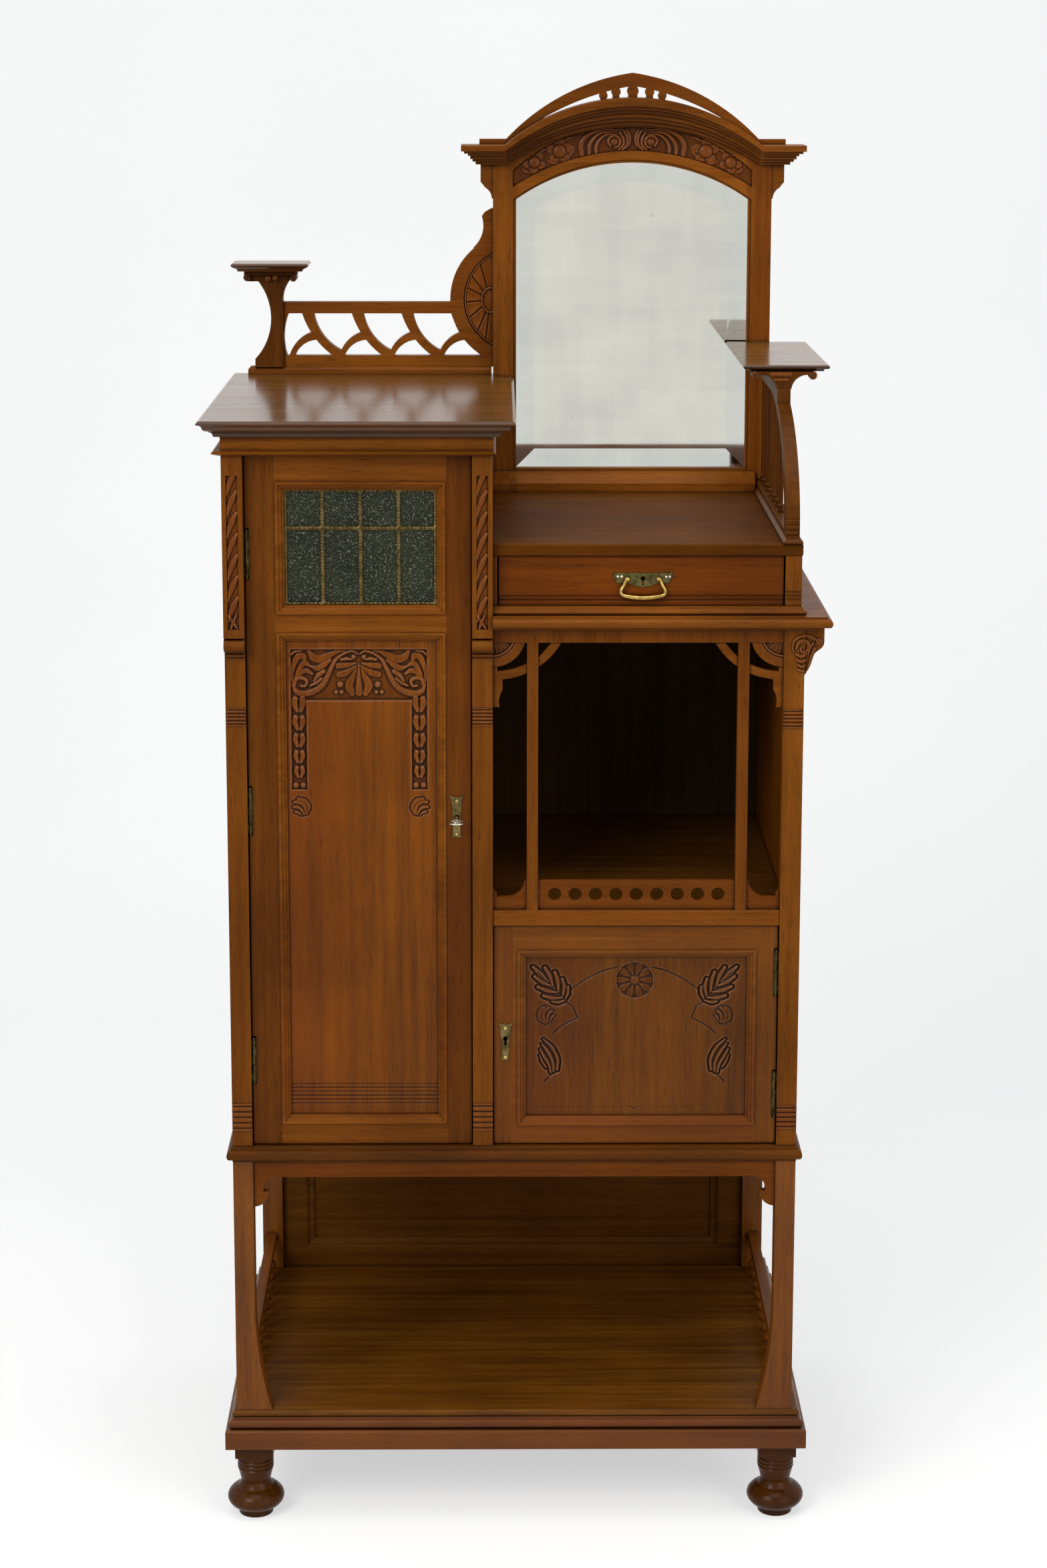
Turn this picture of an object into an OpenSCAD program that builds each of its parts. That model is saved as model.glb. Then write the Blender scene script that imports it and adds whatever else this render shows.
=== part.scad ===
// Parlour cabinet: a tall leaded cupboard on the left, a low cupboard, an open niche
// and a drawer on the right, an arched mirror above, all on a moulded base with turned feet.
// Sizes in millimetres, height along Z, the front faces -Y, the back stands to a wall.

/* [Overall] */
// Width of the base across the front
plinth_w = 740; // [660:1:840]
// Depth of the base from its front to the wall
plinth_d = 500; // [440:1:560]
// Height of the turned feet
foot_h = 102; // [90:1:120]
// Reach of the cap beyond the base on the left
cap_side = 12; // [4:1:24]
// Reach of the cap in front of the base
cap_front = 30; // [24:1:40]
// Reach of the arm shelf beyond the base on the right
shelf_side = 22; // [14:1:36]

/* [Base] */
// Height of the plain base board
plinth_h = 25; // [18:1:36]
// Height of the lower base moulding
base_mould_h = 15; // [10:1:24]
// Thickness of the bottom shelf
shelf_t = 9; // [8:1:16]
// Step of each base moulding behind the one below
base_step = 4.5; // [2:0.5:8]
// Height of the open shelf space
open_h = 333; // [260:1:400]
// Thickness of the waist board
waist_h = 20; // [16:1:28]
// Largest radius of a turned foot
bun_r = 36.4; // [28:0.2:44]
// Distance of a foot's centre from the base's side and front
foot_in = 35; // [26:1:46]

/* [Carcase] */
// Distance of the carcase's left side behind the base's side
side_in = 14.5; // [10:0.5:24]
// Distance of the carcase's right side behind the base's side
right_in = 18.5; // [10:0.5:26]
// Distance of the carcase front behind the base's front
front_in = 12; // [8:0.5:18]
// Distance of the carcase back in front of the wall
back_in = 10; // [4:1:20]
// Width of a pilaster or leg
post_w = 25; // [20:0.5:34]
// Depth of a pilaster or leg
post_d = 28; // [24:1:40]
// Thickness of side and partition boards
board_t = 16; // [12:1:20]
// Thickness of back panels
back_t = 12; // [8:1:16]
// Width of the tall cupboard's opening
tall_w = 276.5; // [240:0.5:310]
// Height of the tall cupboard's opening
tall_h = 876; // [820:1:940]
// Height of the low cupboard's opening
small_h = 286; // [240:1:330]
// Thickness of the niche floor
floor_t = 20; // [16:1:26]
// Height of the open niche
niche_h = 338; // [300:1:380]
// Height of the rail over the niche
niche_rail_h = 18; // [14:1:24]

/* [Cap and drawer unit] */
// Height of the small pointed moulding over the tall door
point_h = 6; // [4:0.5:10]
// Height of the frieze board
frieze_h = 16; // [12:1:24]
// Height of the moulded cap
cap_h = 22.5; // [20:0.5:28]
// Thickness of the board under the drawer unit
mid_h = 17; // [14:0.5:22]
// Height of the stepped moulding on that board
unit_mould_h = 10; // [8:0.5:14]
// Height of the drawer opening
drawer_h = 62; // [52:1:80]
// Thickness of the drawer unit's top board
unit_top_h = 15; // [12:0.5:20]
// Distance of the drawer unit's right side behind the carcase side
unit_in = 4.5; // [2:0.5:12]

/* [Mirror] */
// Width of a mirror frame post
mirror_post = 30; // [24:0.5:40]
// Depth of the mirror frame
mirror_t = 32; // [26:1:40]
// Height of the mirror frame's bottom rail
mirror_rail_h = 30; // [24:1:40]
// Height of the glass at its sides
glass_h = 361.5; // [300:0.5:400]
// Rise of the arched glass
glass_rise = 48.5; // [30:0.5:70]
// Reach of the mirror cornice beyond the frame on each side
cornice_side = 42; // [24:1:48]
// Height of the mirror cornice
cornice_h = 26; // [20:1:34]
// Height of the pierced crest above the arched cornice
crest_h = 32; // [24:1:44]

/* [Doors and drawer] */
// Thickness of the doors
door_t = 22; // [18:1:26]
// Distance of the door fronts behind the pilaster fronts
door_in = 6; // [4:0.5:9]
// Width of the pocket that a hinge fills beside its post
hinge_gap = 6; // [5.6:0.2:8]
// Running gap round a door or drawer
gap = 1.5; // [1:0.1:2.5]
// Width of the moulding round a door panel
mould_w = 10.5; // [8:0.5:14]
// Width of the tall door's lock stile
tall_stile = 31; // [24:0.5:40]
// Width of the tall door's hinge stile
tall_hinge_stile = 36.5; // [28:0.5:44]
// Height of the tall door's glass light inside its moulding
light_h = 142; // [110:1:180]
// Width of the low door's lock stile
lock_stile = 29; // [26:0.5:40]
// Width of the low door's hinge stile
hinge_stile = 26.5; // [22:0.5:36]
// Turned thickness of the drop handle
bail_r = 1.8; // [1.4:0.1:2.4]

/* [Galleries] */
// Height of the fret between its rails
fret_h = 57; // [48:0.5:66]
// Distance from one fret figure to the next
fret_pitch = 67; // [60:0.5:74]
// Thickness of the fret board
fret_t = 16; // [12:1:20]
// Height of the arm shelf over the drawer unit
arm_h = 201.5; // [180:0.5:220]
// Number of thin spindles under the arm
spindles = 7; // [5:1:9]

/* [Hidden] */

// Heights, from the floor up
z_plinth = foot_h;
z_mould = z_plinth + plinth_h;
z_bottom = z_mould + base_mould_h;
z_shelf = z_bottom + shelf_t;
z_waist = z_shelf + open_h;
z_doors = z_waist + waist_h;
z_floor = z_doors + small_h;
z_niche = z_floor + floor_t;
z_rail = z_niche + niche_h;
z_mid = z_rail + niche_rail_h;
z_unit = z_mid + mid_h;
z_drawer = z_unit + unit_mould_h;
z_top = z_drawer + drawer_h;
z_mirror = z_top + unit_top_h;
z_point = z_doors + tall_h;
z_frieze = z_point + point_h;
z_cap = z_frieze + frieze_h;
z_cap_top = z_cap + cap_h;
z_glass = z_mirror + mirror_rail_h;
z_spring = z_glass + glass_h;
z_arch = z_spring + glass_rise;

// Places across the front, from the base's left side
x_left = side_in;
x_tall = x_left + post_w;
x_centre = x_tall + tall_w;
x_bay = x_centre + post_w;
x_right = plinth_w - right_in;
x_post = x_right - post_w;
x_unit = x_right - unit_in;
bay_mid = (x_bay + x_post) / 2;

// Places from the front to the wall
y_post = front_in;
y_door = y_post + door_in;
y_inner = y_post + post_d;
y_back = plinth_d - back_in;
y_panel = y_back - back_t;
y_mirror = y_back - mirror_t;

walnut = [0.42, 0.22, 0.10];
walnut_dark = [0.33, 0.16, 0.07];
brass = [0.72, 0.56, 0.26];

module placed()
  translate([-(plinth_w + shelf_side - cap_side) / 2, -(plinth_d - cap_front) / 2, 0])
    children();

// Plain board from its ranges across, back and up
module board(x, y, z)
  translate([x[0], y[0], z[0]])
    cube([x[1] - x[0], y[1] - y[0], z[1] - z[0]]);

// Outline drawn across and up, running from front to back
module run_back(y)
  translate([0, y[1], 0])
    rotate([90, 0, 0])
      linear_extrude(y[1] - y[0]) children();

// Outline drawn back and up, running across
module run_across(x)
  translate([x[0], 0, 0])
    rotate([90, 0, 90])
      linear_extrude(x[1] - x[0]) children();

// Outline drawn across and back, running up
module run_up(z)
  translate([0, 0, z[0]])
    linear_extrude(z[1] - z[0]) children();

// Points of an arc
function arc(c, r, from, to, steps) =
  [for (i = [0:steps]) let (a = from + (to - from) * i / steps) [c[0] + r[0] * cos(a), c[1] + r[1] * sin(a)]];

// Half-round nosing of height h standing on "up", as steps of inset and height
function nosing(up, h, inset) =
  [for (i = [0:6]) [inset * (1 - sin(i * 30)), up + h * (1 - cos(i * 30)) / 2]];

function turned_over(p) = [for (i = [len(p) - 1:-1:0]) p[i]];

// Slab with one edge profile round its front and sides, mitred at the corners;
// the profile runs from bottom to top as [inset, height]
module moulded_slab(x, y, z, edge, left = 1, right = 1)
  intersection() {
    run_back(y)
      polygon(concat(
        [for (p = edge) [x[0] + left * p[0], z + p[1]]],
        [for (p = turned_over(edge)) [x[1] - right * p[0], z + p[1]]]));
    run_across(x)
      polygon(concat(
        [for (p = edge) [y[0] + p[0], z + p[1]]],
        [[y[1], z + edge[len(edge) - 1][1]], [y[1], z + edge[0][1]]]));
  }

// Sinking with moulded sides; the profile runs from its mouth inward as [inset, depth]
module sinking(x, y, z, sides)
  intersection() {
    run_up(z)
      polygon(concat(
        [for (p = sides) [x[0] + p[0], y + p[1]]],
        [for (p = turned_over(sides)) [x[1] - p[0], y + p[1]]]));
    run_across(x)
      polygon(concat(
        [for (p = sides) [y + p[1], z[0] + p[0]]],
        [for (p = turned_over(sides)) [y + p[1], z[1] - p[0]]]));
  }

// Round grooves across the front of a post
module grooves(x, y, from, pitch, count)
  for (i = [0:count - 1])
    translate([x[0] - 1, y, from + i * pitch])
      rotate([0, 90, 0])
        cylinder(r = 1.5, h = x[1] - x[0] + 2, $fn = 16);

// Arched outline: upright sides, then a low arch
module arched(mid, half, from, spring, rise) {
  r = arch_r(half, rise);
  intersection() {
    translate([mid - half, from]) square([2 * half, spring + rise - from]);
    union() {
      translate([mid - half, from]) square([2 * half, spring - from]);
      translate([mid, spring + rise - r]) circle(r = r, $fn = 160);
    }
  }
}

// Base

module bun_feet() {
  neck_h = 20;
  block = 48.6;
  bun = [bun_r, 19];
  low = -53;
  placed() color(walnut_dark)
    for (x = [foot_in, plinth_w - foot_in], y = [foot_in + 5, plinth_d - foot_in - 5])
      translate([x, y, 0]) {
        rotate_extrude($fn = 40)
          polygon(concat(
            [[0, 0], [22, 0]],
            arc([0, 22], bun, low, 52, 9),
            [[20, 41], [18.5, 44], [22.5, 60], [23.2, 62], [22, 63.5], [23.2, 65], [23.2, 67.5],
             [22, 69], [23.2, 70.5], [23.2, 73], [22, 74.5], [23.2, 76], [23.2, foot_h - neck_h],
             [0, foot_h - neck_h]]));
        translate([-block / 2, -block / 2, foot_h - neck_h]) cube([block, block, neck_h]);
      }
}

module plinth_board()
  placed() color(walnut)
    moulded_slab([0, plinth_w], [0, plinth_d], z_plinth, [[0, 0], [0, plinth_h - 2], [1.5, plinth_h]]);

module base_moulding()
  placed() color(walnut)
    moulded_slab(
      [base_step, plinth_w - base_step], [base_step, plinth_d], z_mould,
      concat(nosing(0, base_mould_h - 2.5, 4), [[5, base_mould_h - 2], [5, base_mould_h]]));

module bottom_shelf()
  placed() color(walnut)
    moulded_slab(
      [2 * base_step, plinth_w - 2 * base_step], [2 * base_step, plinth_d], z_bottom,
      nosing(0, shelf_t, 3));

// Legs that flare inward near the shelf, and plain ones at the back
module lower_legs() {
  flare_r = 500;
  flare_z = z_shelf + 139;
  back_leg = 28;
  placed() color(walnut)
    for (side = [0, 1])
      translate([side * (x_left + x_right), 0, 0]) mirror([side, 0, 0]) {
        run_back([y_post, y_inner])
          difference() {
            translate([x_left, z_shelf]) square([post_w + 21, open_h]);
            translate([x_tall + flare_r, flare_z]) circle(r = flare_r, $fn = 300);
            translate([x_tall, flare_z]) square([40, open_h]);
          }
        board([x_left, x_left + back_leg], [y_back - back_leg, y_back], [z_shelf, z_waist]);
      }
}

// Rail under the waist with a scooped bracket at each leg
module lower_apron() {
  rail_h = 22;
  scoop = 19.3;
  t = 12;
  z = z_waist - rail_h;
  y = y_post + 4;
  placed() color(walnut)
    run_back([y, y + t])
      union() {
        translate([x_tall, z]) square([x_post - x_tall, rail_h]);
        for (side = [0, 1])
          translate([side * (x_left + x_right), 0]) mirror([side, 0])
            translate([x_tall, z]) {
              difference() {
                translate([0, -20]) square([40.7, 21]);
                translate([31.7, -17]) circle(r = scoop, $fn = 64);
                translate([12.7, -30]) square([40, 13]);
              }
              intersection() {
                translate([0, -20]) circle(r = scoop, $fn = 64);
                translate([0, -40]) square([20, 20]);
              }
            }
      }
}

// Framed panel between the back legs
module lower_back() {
  stile = 32;
  rail = 34;
  x = [x_left + 28, x_right - 28];
  placed() color(walnut_dark) {
    difference() {
      board(x, [y_panel - 6, y_back], [z_shelf, z_waist]);
      sinking([x[0] + stile, x[1] - stile], y_panel - 6, [z_shelf + 28, z_waist - rail],
        [[-1, -1], [0, 0], [3, 1], [5, 4], [12, 5.5], [13, 8]]);
      board([x[0] + stile + 10, x[1] - stile - 10], [y_panel + 2, y_back + 1],
        [z_shelf + 38, z_waist - rail - 10]);
    }
    board([x[0] + stile + 10, x[1] - stile - 10], [y_panel + 2, y_back],
      [z_shelf + 38, z_waist - rail - 10]);
  }
}

// Low rails on turned balls between the front and back legs
module side_galleries() {
  rail_w = 13;
  rail_h = 13;
  z = z_shelf + 41;
  count = 11;
  y = [y_inner, y_back - 28];
  placed() color(walnut)
    for (x = [x_left + 6, x_right - 6 - rail_w]) {
      board([x, x + rail_w], y, [z, z + rail_h]);
      for (i = [1:count])
        translate([x + rail_w / 2, y[0] + (y[1] - y[0]) * i / (count + 1), z_shelf])
          rotate_extrude($fn = 24)
            polygon(concat(
              [[0, 0], [5, 0], [5, 3], [3, 5], [3, 10]],
              arc([0, 20.5], [8.5, 8.5], -65, 65, 8),
              [[3, 31], [3, 36], [5, 38], [5, 41], [0, 41]]));
    }
}

module waist_board()
  placed() color(walnut)
    moulded_slab(
      [x_left - 7.5, x_right + 7.5], [y_post - 8, plinth_d], z_waist,
      concat([[7, 0], [7, 3]], nosing(3, waist_h - 7, 4), [[5.5, waist_h - 3.5], [5.5, waist_h]]));

// Carcase

// Pilaster with a projecting upper block, a bullnose and grooves
module pilaster(x) {
  z_block = z_point - 243;
  difference() {
    union() {
      board(x, [y_post, y_inner], [z_doors, z_point]);
      board(x, [0, y_post], [z_block + 19, z_point]);
      run_across(x)
        polygon(arc([y_post, z_block + 9.5], [14, 9.5], 270, 90, 8));
    }
    board([x[0] + 5.6, x[1] - 5.6], [-1, 13], [z_block + 30, z_point - 24.5]);
    grooves(x, y_post, z_block - 7, 5, 2);
    grooves(x, y_post, z_block - 90, 4.5, 5);
    grooves(x, y_post, z_doors + 24, 7.2, 5);
  }
}

module pilasters()
  placed() color(walnut) {
    pilaster([x_left, x_tall]);
    pilaster([x_centre, x_bay]);
  }

module right_post()
  placed() color(walnut)
    difference() {
      board([x_post, x_right], [y_post, y_inner], [z_doors, z_mid]);
      grooves([x_post, x_right], y_post, z_rail - 104, 4.7, 5);
      grooves([x_post, x_right], y_post, z_doors + 25, 6.2, 5);
    }

// Three-strand twist lying in the sunk panel of each pilaster
module rope_mouldings() {
  rope_r = 6.6;
  z = [z_point - 213, z_point - 24.5];
  turns = (z[1] - z[0]) / 44;
  placed() color(walnut)
    for (x = [x_left, x_centre])
      intersection() {
        translate([x + post_w / 2, rope_r, z[0]])
          linear_extrude(z[1] - z[0], twist = -360 * turns, slices = ceil(turns * 8))
            for (a = [0:120:240])
              rotate(a) translate([rope_r * 0.46, 0]) circle(r = rope_r * 0.54, $fn = 8);
        board([x, x + post_w], [0, 13], [z[0] - 1, z[1] + 1]);
      }
}

// Two outer sides and the partition beside the tall cupboard
module side_boards()
  placed() color(walnut) {
    board([x_left, x_left + board_t], [y_inner, y_back], [z_doors, z_point]);
    board([x_bay - board_t, x_bay], [y_inner, y_back], [z_doors, z_point]);
    board([x_right - board_t, x_right], [y_inner, y_back], [z_doors, z_mid]);
  }

module back_boards()
  placed() color(walnut_dark) {
    board([x_left + board_t, x_bay - board_t], [y_panel, y_back], [z_doors, z_point]);
    board([x_bay, x_right - board_t], [y_panel, y_back], [z_doors, z_mid]);
    board([x_bay, x_unit], [y_panel, y_back], [z_drawer, z_top]);
  }

module tall_shelves() {
  t = 14;
  placed() color(walnut_dark)
    for (z = [z_doors + tall_h * 0.29, z_doors + tall_h * 0.59])
      board([x_left + board_t, x_bay - board_t], [y_inner + 20, y_panel], [z, z + t]);
}

// Niche

bar_w = 13.6;
bar_gap = 42;
bar_off = (x_post - x_bay) / 2 - bar_gap - bar_w / 2;
fan_r = bar_gap - 1;
fan_up = 10;
y_rail = y_post + 2;

module niche_floor()
  placed() color(walnut) {
    board([x_bay, x_post], [y_rail, y_inner], [z_floor, z_niche]);
    board([x_bay, x_right - board_t], [y_inner, y_panel], [z_floor, z_niche]);
  }

module niche_rail_bars()
  placed() color(walnut) {
    board([x_bay, x_post], [y_rail, y_rail + 16], [z_rail, z_mid]);
    for (s = [-1, 1])
      board([bay_mid + s * bar_off - bar_w / 2, bay_mid + s * bar_off + bar_w / 2],
        [y_rail, y_rail + 14], [z_niche, z_rail]);
  }

// Draws its children at both upper corners of the niche, origin in the corner
module niche_corners(z)
  for (side = [0, 1])
    translate([side == 0 ? x_bay : x_post, z]) mirror([side, 0]) children();

// Quarter fans between the posts and the bars, with sunk flutes
module niche_fans() {
  y = y_rail + 2;
  placed() color(walnut)
    difference() {
      run_back([y, y + 10])
        niche_corners(z_rail)
          intersection() {
            translate([0, fan_up]) circle(r = fan_r, $fn = 72);
            translate([0, -fan_r]) square([fan_r, fan_r]);
          }
      for (side = [0, 1], a = [14, 33, 52, 71])
        translate([side == 0 ? x_bay : x_post, y, z_rail + fan_up]) mirror([side, 0, 0])
          rotate([0, 90 - a, 0])
            translate([-1, -1.2, 13]) cylinder(r = 3, h = fan_r - 20, $fn = 20);
    }
}

// Arched bands that cross the bars from the posts up to the rail, with a tail on the post
module niche_arcs() {
  out_r = 91;
  in_r = 81;
  mid = [4.5, 44.5];
  tail = [12, 81];
  tail_top = fan_r - fan_up + 0.3;
  y = y_rail + 3;
  placed() color(walnut)
    difference() {
      run_back([y, y + 8])
        niche_corners(z_rail) {
          difference() {
            intersection() {
              translate(mid) circle(r = out_r, $fn = 120);
              translate([0, -60]) square([100, 60]);
            }
            translate(mid) circle(r = in_r, $fn = 120);
          }
          difference() {
            translate([0, -tail[1]]) square([tail[0], tail[1] - tail_top]);
            translate([32, -74]) circle(r = 24.5, $fn = 60);
            translate([5.5, -mid[1] + 8]) square([20, 30]);
          }
        }
      for (s = [-1, 1])
        board([bay_mid + s * bar_off - bar_w / 2, bay_mid + s * bar_off + bar_w / 2],
          [y_rail - 1, y_rail + 14], [z_niche, z_rail + 1]);
    }
}

// Strip with a row of round holes between the bars, and a scooped piece beyond each bar
module pierced_strip() {
  holes = 9;
  web = 8.7;
  h = 37;
  scoop = 21;
  in = bar_off - bar_w / 2;
  pitch = (2 * in - 42) / (holes - 1);
  hole_r = (pitch - web) / 2;
  y = [y_rail + 4, y_rail + 11];
  placed() color(walnut) {
    difference() {
      board([bay_mid - in, bay_mid + in], y, [z_niche, z_niche + h]);
      for (i = [0:holes - 1])
        translate([bay_mid + (i - (holes - 1) / 2) * pitch, y_rail + 12, z_niche + h / 2 + 1])
          rotate([90, 0, 0]) cylinder(r = hole_r, h = 9, $fn = 40);
    }
    run_back(y)
      niche_corners(z_niche)
        difference() {
          square([bar_gap, h]);
          translate([bar_gap - 3 - scoop, h + 0.01]) circle(r = scoop, $fn = 60);
          translate([5, h - scoop]) square([bar_gap - scoop - 8, scoop + 1]);
        }
  }
}

// Bracket outside the right post: a round nose that sweeps back to the post
module post_corbel() {
  reach = 24;
  nose = 11;
  sweep = 34;
  turn = -58;
  nose_mid = [reach - nose, -17];
  sweep_mid = [nose_mid[0] + (nose + sweep) * cos(turn), nose_mid[1] + (nose + sweep) * sin(turn)];
  placed() color(walnut)
    run_back([y_post + 2, y_inner - 2])
      translate([x_right, z_mid])
        polygon(concat(
          [[0, 0], [reach, 0]],
          arc(nose_mid, [nose, nose], 0, turn, 6),
          arc(sweep_mid, [sweep, sweep], 180 + turn, 180, 8),
          [[0, sweep_mid[1] - 4]]));
}

// Drawer unit

module mid_board()
  placed() color(walnut)
    moulded_slab(
      [x_bay, x_right + 32], [y_post - 22, y_back], z_mid,
      concat([[12, 0], [12, 2.5], [6, 3.5]], nosing(3.5, mid_h - 6, 4.5), [[6, mid_h - 2], [6, mid_h]]),
      left = 0);

module unit_moulding()
  placed() color(walnut)
    moulded_slab(
      [x_bay, x_unit + 6], [y_post - 5, y_back], z_unit,
      concat(nosing(0, unit_mould_h - 4, 3), [[4, unit_mould_h - 3], [5, unit_mould_h]]),
      left = 0);

// Grooved end block, end board, front strip and the guides beside the drawer
module unit_sides() {
  block = 20;
  strip = 5.5;
  placed() color(walnut) {
    difference() {
      board([x_unit - block, x_unit], [y_post + 4, y_inner], [z_drawer, z_top]);
      grooves([x_unit - block, x_unit], y_post + 4, z_drawer + 8, 4.4, 3);
    }
    board([x_unit - 12, x_unit], [y_inner, y_panel], [z_drawer, z_top]);
    board([x_bay, x_bay + strip], [y_post + 4, y_inner], [z_drawer, z_top]);
    board([x_bay, x_bay + 7.5], [y_inner, y_panel], [z_drawer, z_drawer + 12]);
    board([x_unit - 22, x_unit - 12], [y_inner, y_panel], [z_drawer, z_drawer + 12]);
  }
}

module unit_top()
  placed() color(walnut)
    moulded_slab(
      [x_bay, x_unit + 1], [y_post + 2, y_back], z_top,
      [[1.5, 0], [0, 1.5], [0, unit_top_h - 1.5], [1.5, unit_top_h]], left = 0);

// Cap

// Notch at the back of the cap for the mirror frame
module mirror_notch(z)
  board([x_bay, x_bay + 40], [y_mirror, plinth_d + 1], z);

// Frieze board on a small pointed moulding
module cap_frieze()
  placed() color(walnut)
    difference() {
      union() {
        moulded_slab(
          [x_left - 11, x_bay + 4], [-11, y_back], z_point,
          [[9, 0], [2, point_h * 0.4], [0, point_h * 0.55], [3, point_h]]);
        board([x_left - 0.5, x_bay + 1.5], [0, y_back], [z_frieze - 1, z_cap]);
      }
      mirror_notch([z_point - 1, z_cap + 1]);
    }

module cap_board()
  placed() color(walnut)
    difference() {
      moulded_slab(
        [-cap_side, x_bay + 28], [-cap_front, plinth_d], z_cap,
        concat(
          [[29.5, 0], [19.6, 2]],
          arc([13.9, 2], [5, 6], 0, 90, 4),
          arc([13.9, 15.5], [8, 6.5], 270, 180, 4),
          [[3.7, 17.2], [0, 18], [0, 19.5], [1.2, cap_h - 1], [3.5, cap_h]]));
      mirror_notch([z_cap - 1, z_cap_top + 1]);
    }

// Left gallery

z_gallery = z_cap_top + 10.5;
z_fret = z_gallery + 15;
z_fret_top = z_fret + fret_h;
z_gallery_shelf = z_fret_top + 59;
y_fret = plinth_d - fret_t;
x_console = 20;
fret_first = x_console + 63.5;

module gallery_base()
  placed() color(walnut)
    moulded_slab(
      [x_console - 10, x_bay - 2], [y_fret - 4, plinth_d], z_cap_top,
      [[0, 0], [0, 7], [1.5, 9], [3.5, 10.5]], right = 0);

// One forked figure of the fret, origin at the top left of its main stroke
module fret_figure() {
  intersection() {
    translate([-24, -fret_h]) square([78, fret_h]);
    union() {
      difference() {
        translate([108.3, 34.3]) circle(r = 113.6, $fn = 160);
        translate([83.1, 10.5]) circle(r = 67.8, $fn = 120);
        translate([60, -80]) square([200, 240]);
      }
      difference() {
        translate([27, -69.7]) circle(r = 46.4, $fn = 100);
        translate([21.2, -68.8]) circle(r = 33.1, $fn = 80);
        translate([18.5, -120]) square([80, 120]);
      }
    }
  }
}

shell_mid = [x_bay + 30.8, z_fret + 76];
shell_r = 88.5;
pocket_r = 70.4;

// Board that carries the shell: round at its left, with a hooked upper corner
module shell_board() {
  hook_r = 40;
  hook = [x_bay - 53, z_fret + 175];
  intersection() {
    translate([x_bay - 70, z_gallery]) square([70, 230]);
    union() {
      translate(shell_mid) circle(r = shell_r, $fn = 160);
      difference() {
        translate([x_bay, hook[1]])
          polygon([[-26, -31], [0, -31], [0, 23.5], [-4, 22], [-11, 17.8], [-16, 11], [-26, 11]]);
        translate(hook) circle(r = hook_r, $fn = 100);
      }
    }
  }
}

// Rails, forked figures and the shell board, cut from one board
module gallery_fret() {
  rail_top = 15.5;
  bow = 86;
  x = [x_console + 38, x_bay];
  placed() color(walnut)
    difference() {
      run_back([y_fret, plinth_d])
        union() {
          translate([x[0], z_gallery]) square([x[1] - x[0], z_fret - z_gallery]);
          translate([x[0], z_fret_top]) square([x_bay - 40 - x[0], rail_top]);
          difference() {
            translate([x[0], z_fret - 1]) square([9, fret_h + 2]);
            translate([x[0] + 1 + bow, z_fret + 25]) circle(r = bow, $fn = 160);
          }
          for (i = [0:2])
            translate([fret_first + i * fret_pitch, z_fret_top]) fret_figure();
          intersection() {
            translate([fret_first + 3 * fret_pitch, z_fret_top]) fret_figure();
            translate([0, z_fret]) square([x_bay, fret_h]);
          }
          shell_board();
        }
      intersection() {
        translate([shell_mid[0], y_fret + 5, shell_mid[1]]) rotate([90, 0, 0])
          cylinder(r = pocket_r, h = 10, $fn = 120);
        board([x_bay - 80, x_bay + 1], [y_fret - 8, y_fret + 6], [z_fret - 2, z_fret + 160]);
      }
      translate([x_bay - 3, y_fret + 5, shell_mid[1]])
        for (a = [105:22:255])
          rotate([0, -a, 0])
            translate([8, 0, 0]) rotate([0, 90, 0])
              cylinder(r = 2.6, h = 16 + 9 * abs(sin(a)), $fn = 18);
    }
}

// Post of the small shelf: hollow sides and a capital with a scroll at each end
module gallery_console() {
  top = z_gallery_shelf;
  waist_r = 81.2;
  right_r = 42;
  placed() color(walnut) {
    run_back([y_fret - 6, plinth_d])
      union() {
        difference() {
          translate([x_console, z_gallery]) square([38, top - 6 - z_gallery]);
          translate([x_console + 22 - waist_r, z_fret + 51.5]) circle(r = waist_r, $fn = 160);
        }
        difference() {
          translate([x_console + 37, top - 43]) square([20, 38]);
          translate([x_console + 38 + right_r, top - 41]) circle(r = right_r, $fn = 100);
        }
        translate([x_console - 9, top - 15.5]) square([20, 10]);
      }
    run_back([y_fret - 14, plinth_d])
      union() {
        translate([x_console - 13, top - 6.5]) square([71, 6.5]);
        translate([x_console - 8.7, top - 10]) circle(r = 4.9, $fn = 32);
        translate([x_console + 53, top - 10.5]) circle(r = 4.7, $fn = 32);
      }
  }
}

module gallery_shelf()
  placed() color(walnut)
    moulded_slab(
      [x_console - 28, x_console + 75], [y_fret - 45, plinth_d], z_gallery_shelf,
      [[8.5, 0], [7.5, 3], [2.5, 5.5], [0, 7.5], [0, 9], [1.5, 11]]);

// Mirror

x_mirror = x_unit - 4.5;
mirror_mid = (x_bay + x_mirror) / 2;
mirror_half = (x_mirror - x_bay) / 2;
glass_half = mirror_half - mirror_post - 1;
rebate = 5;

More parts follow.
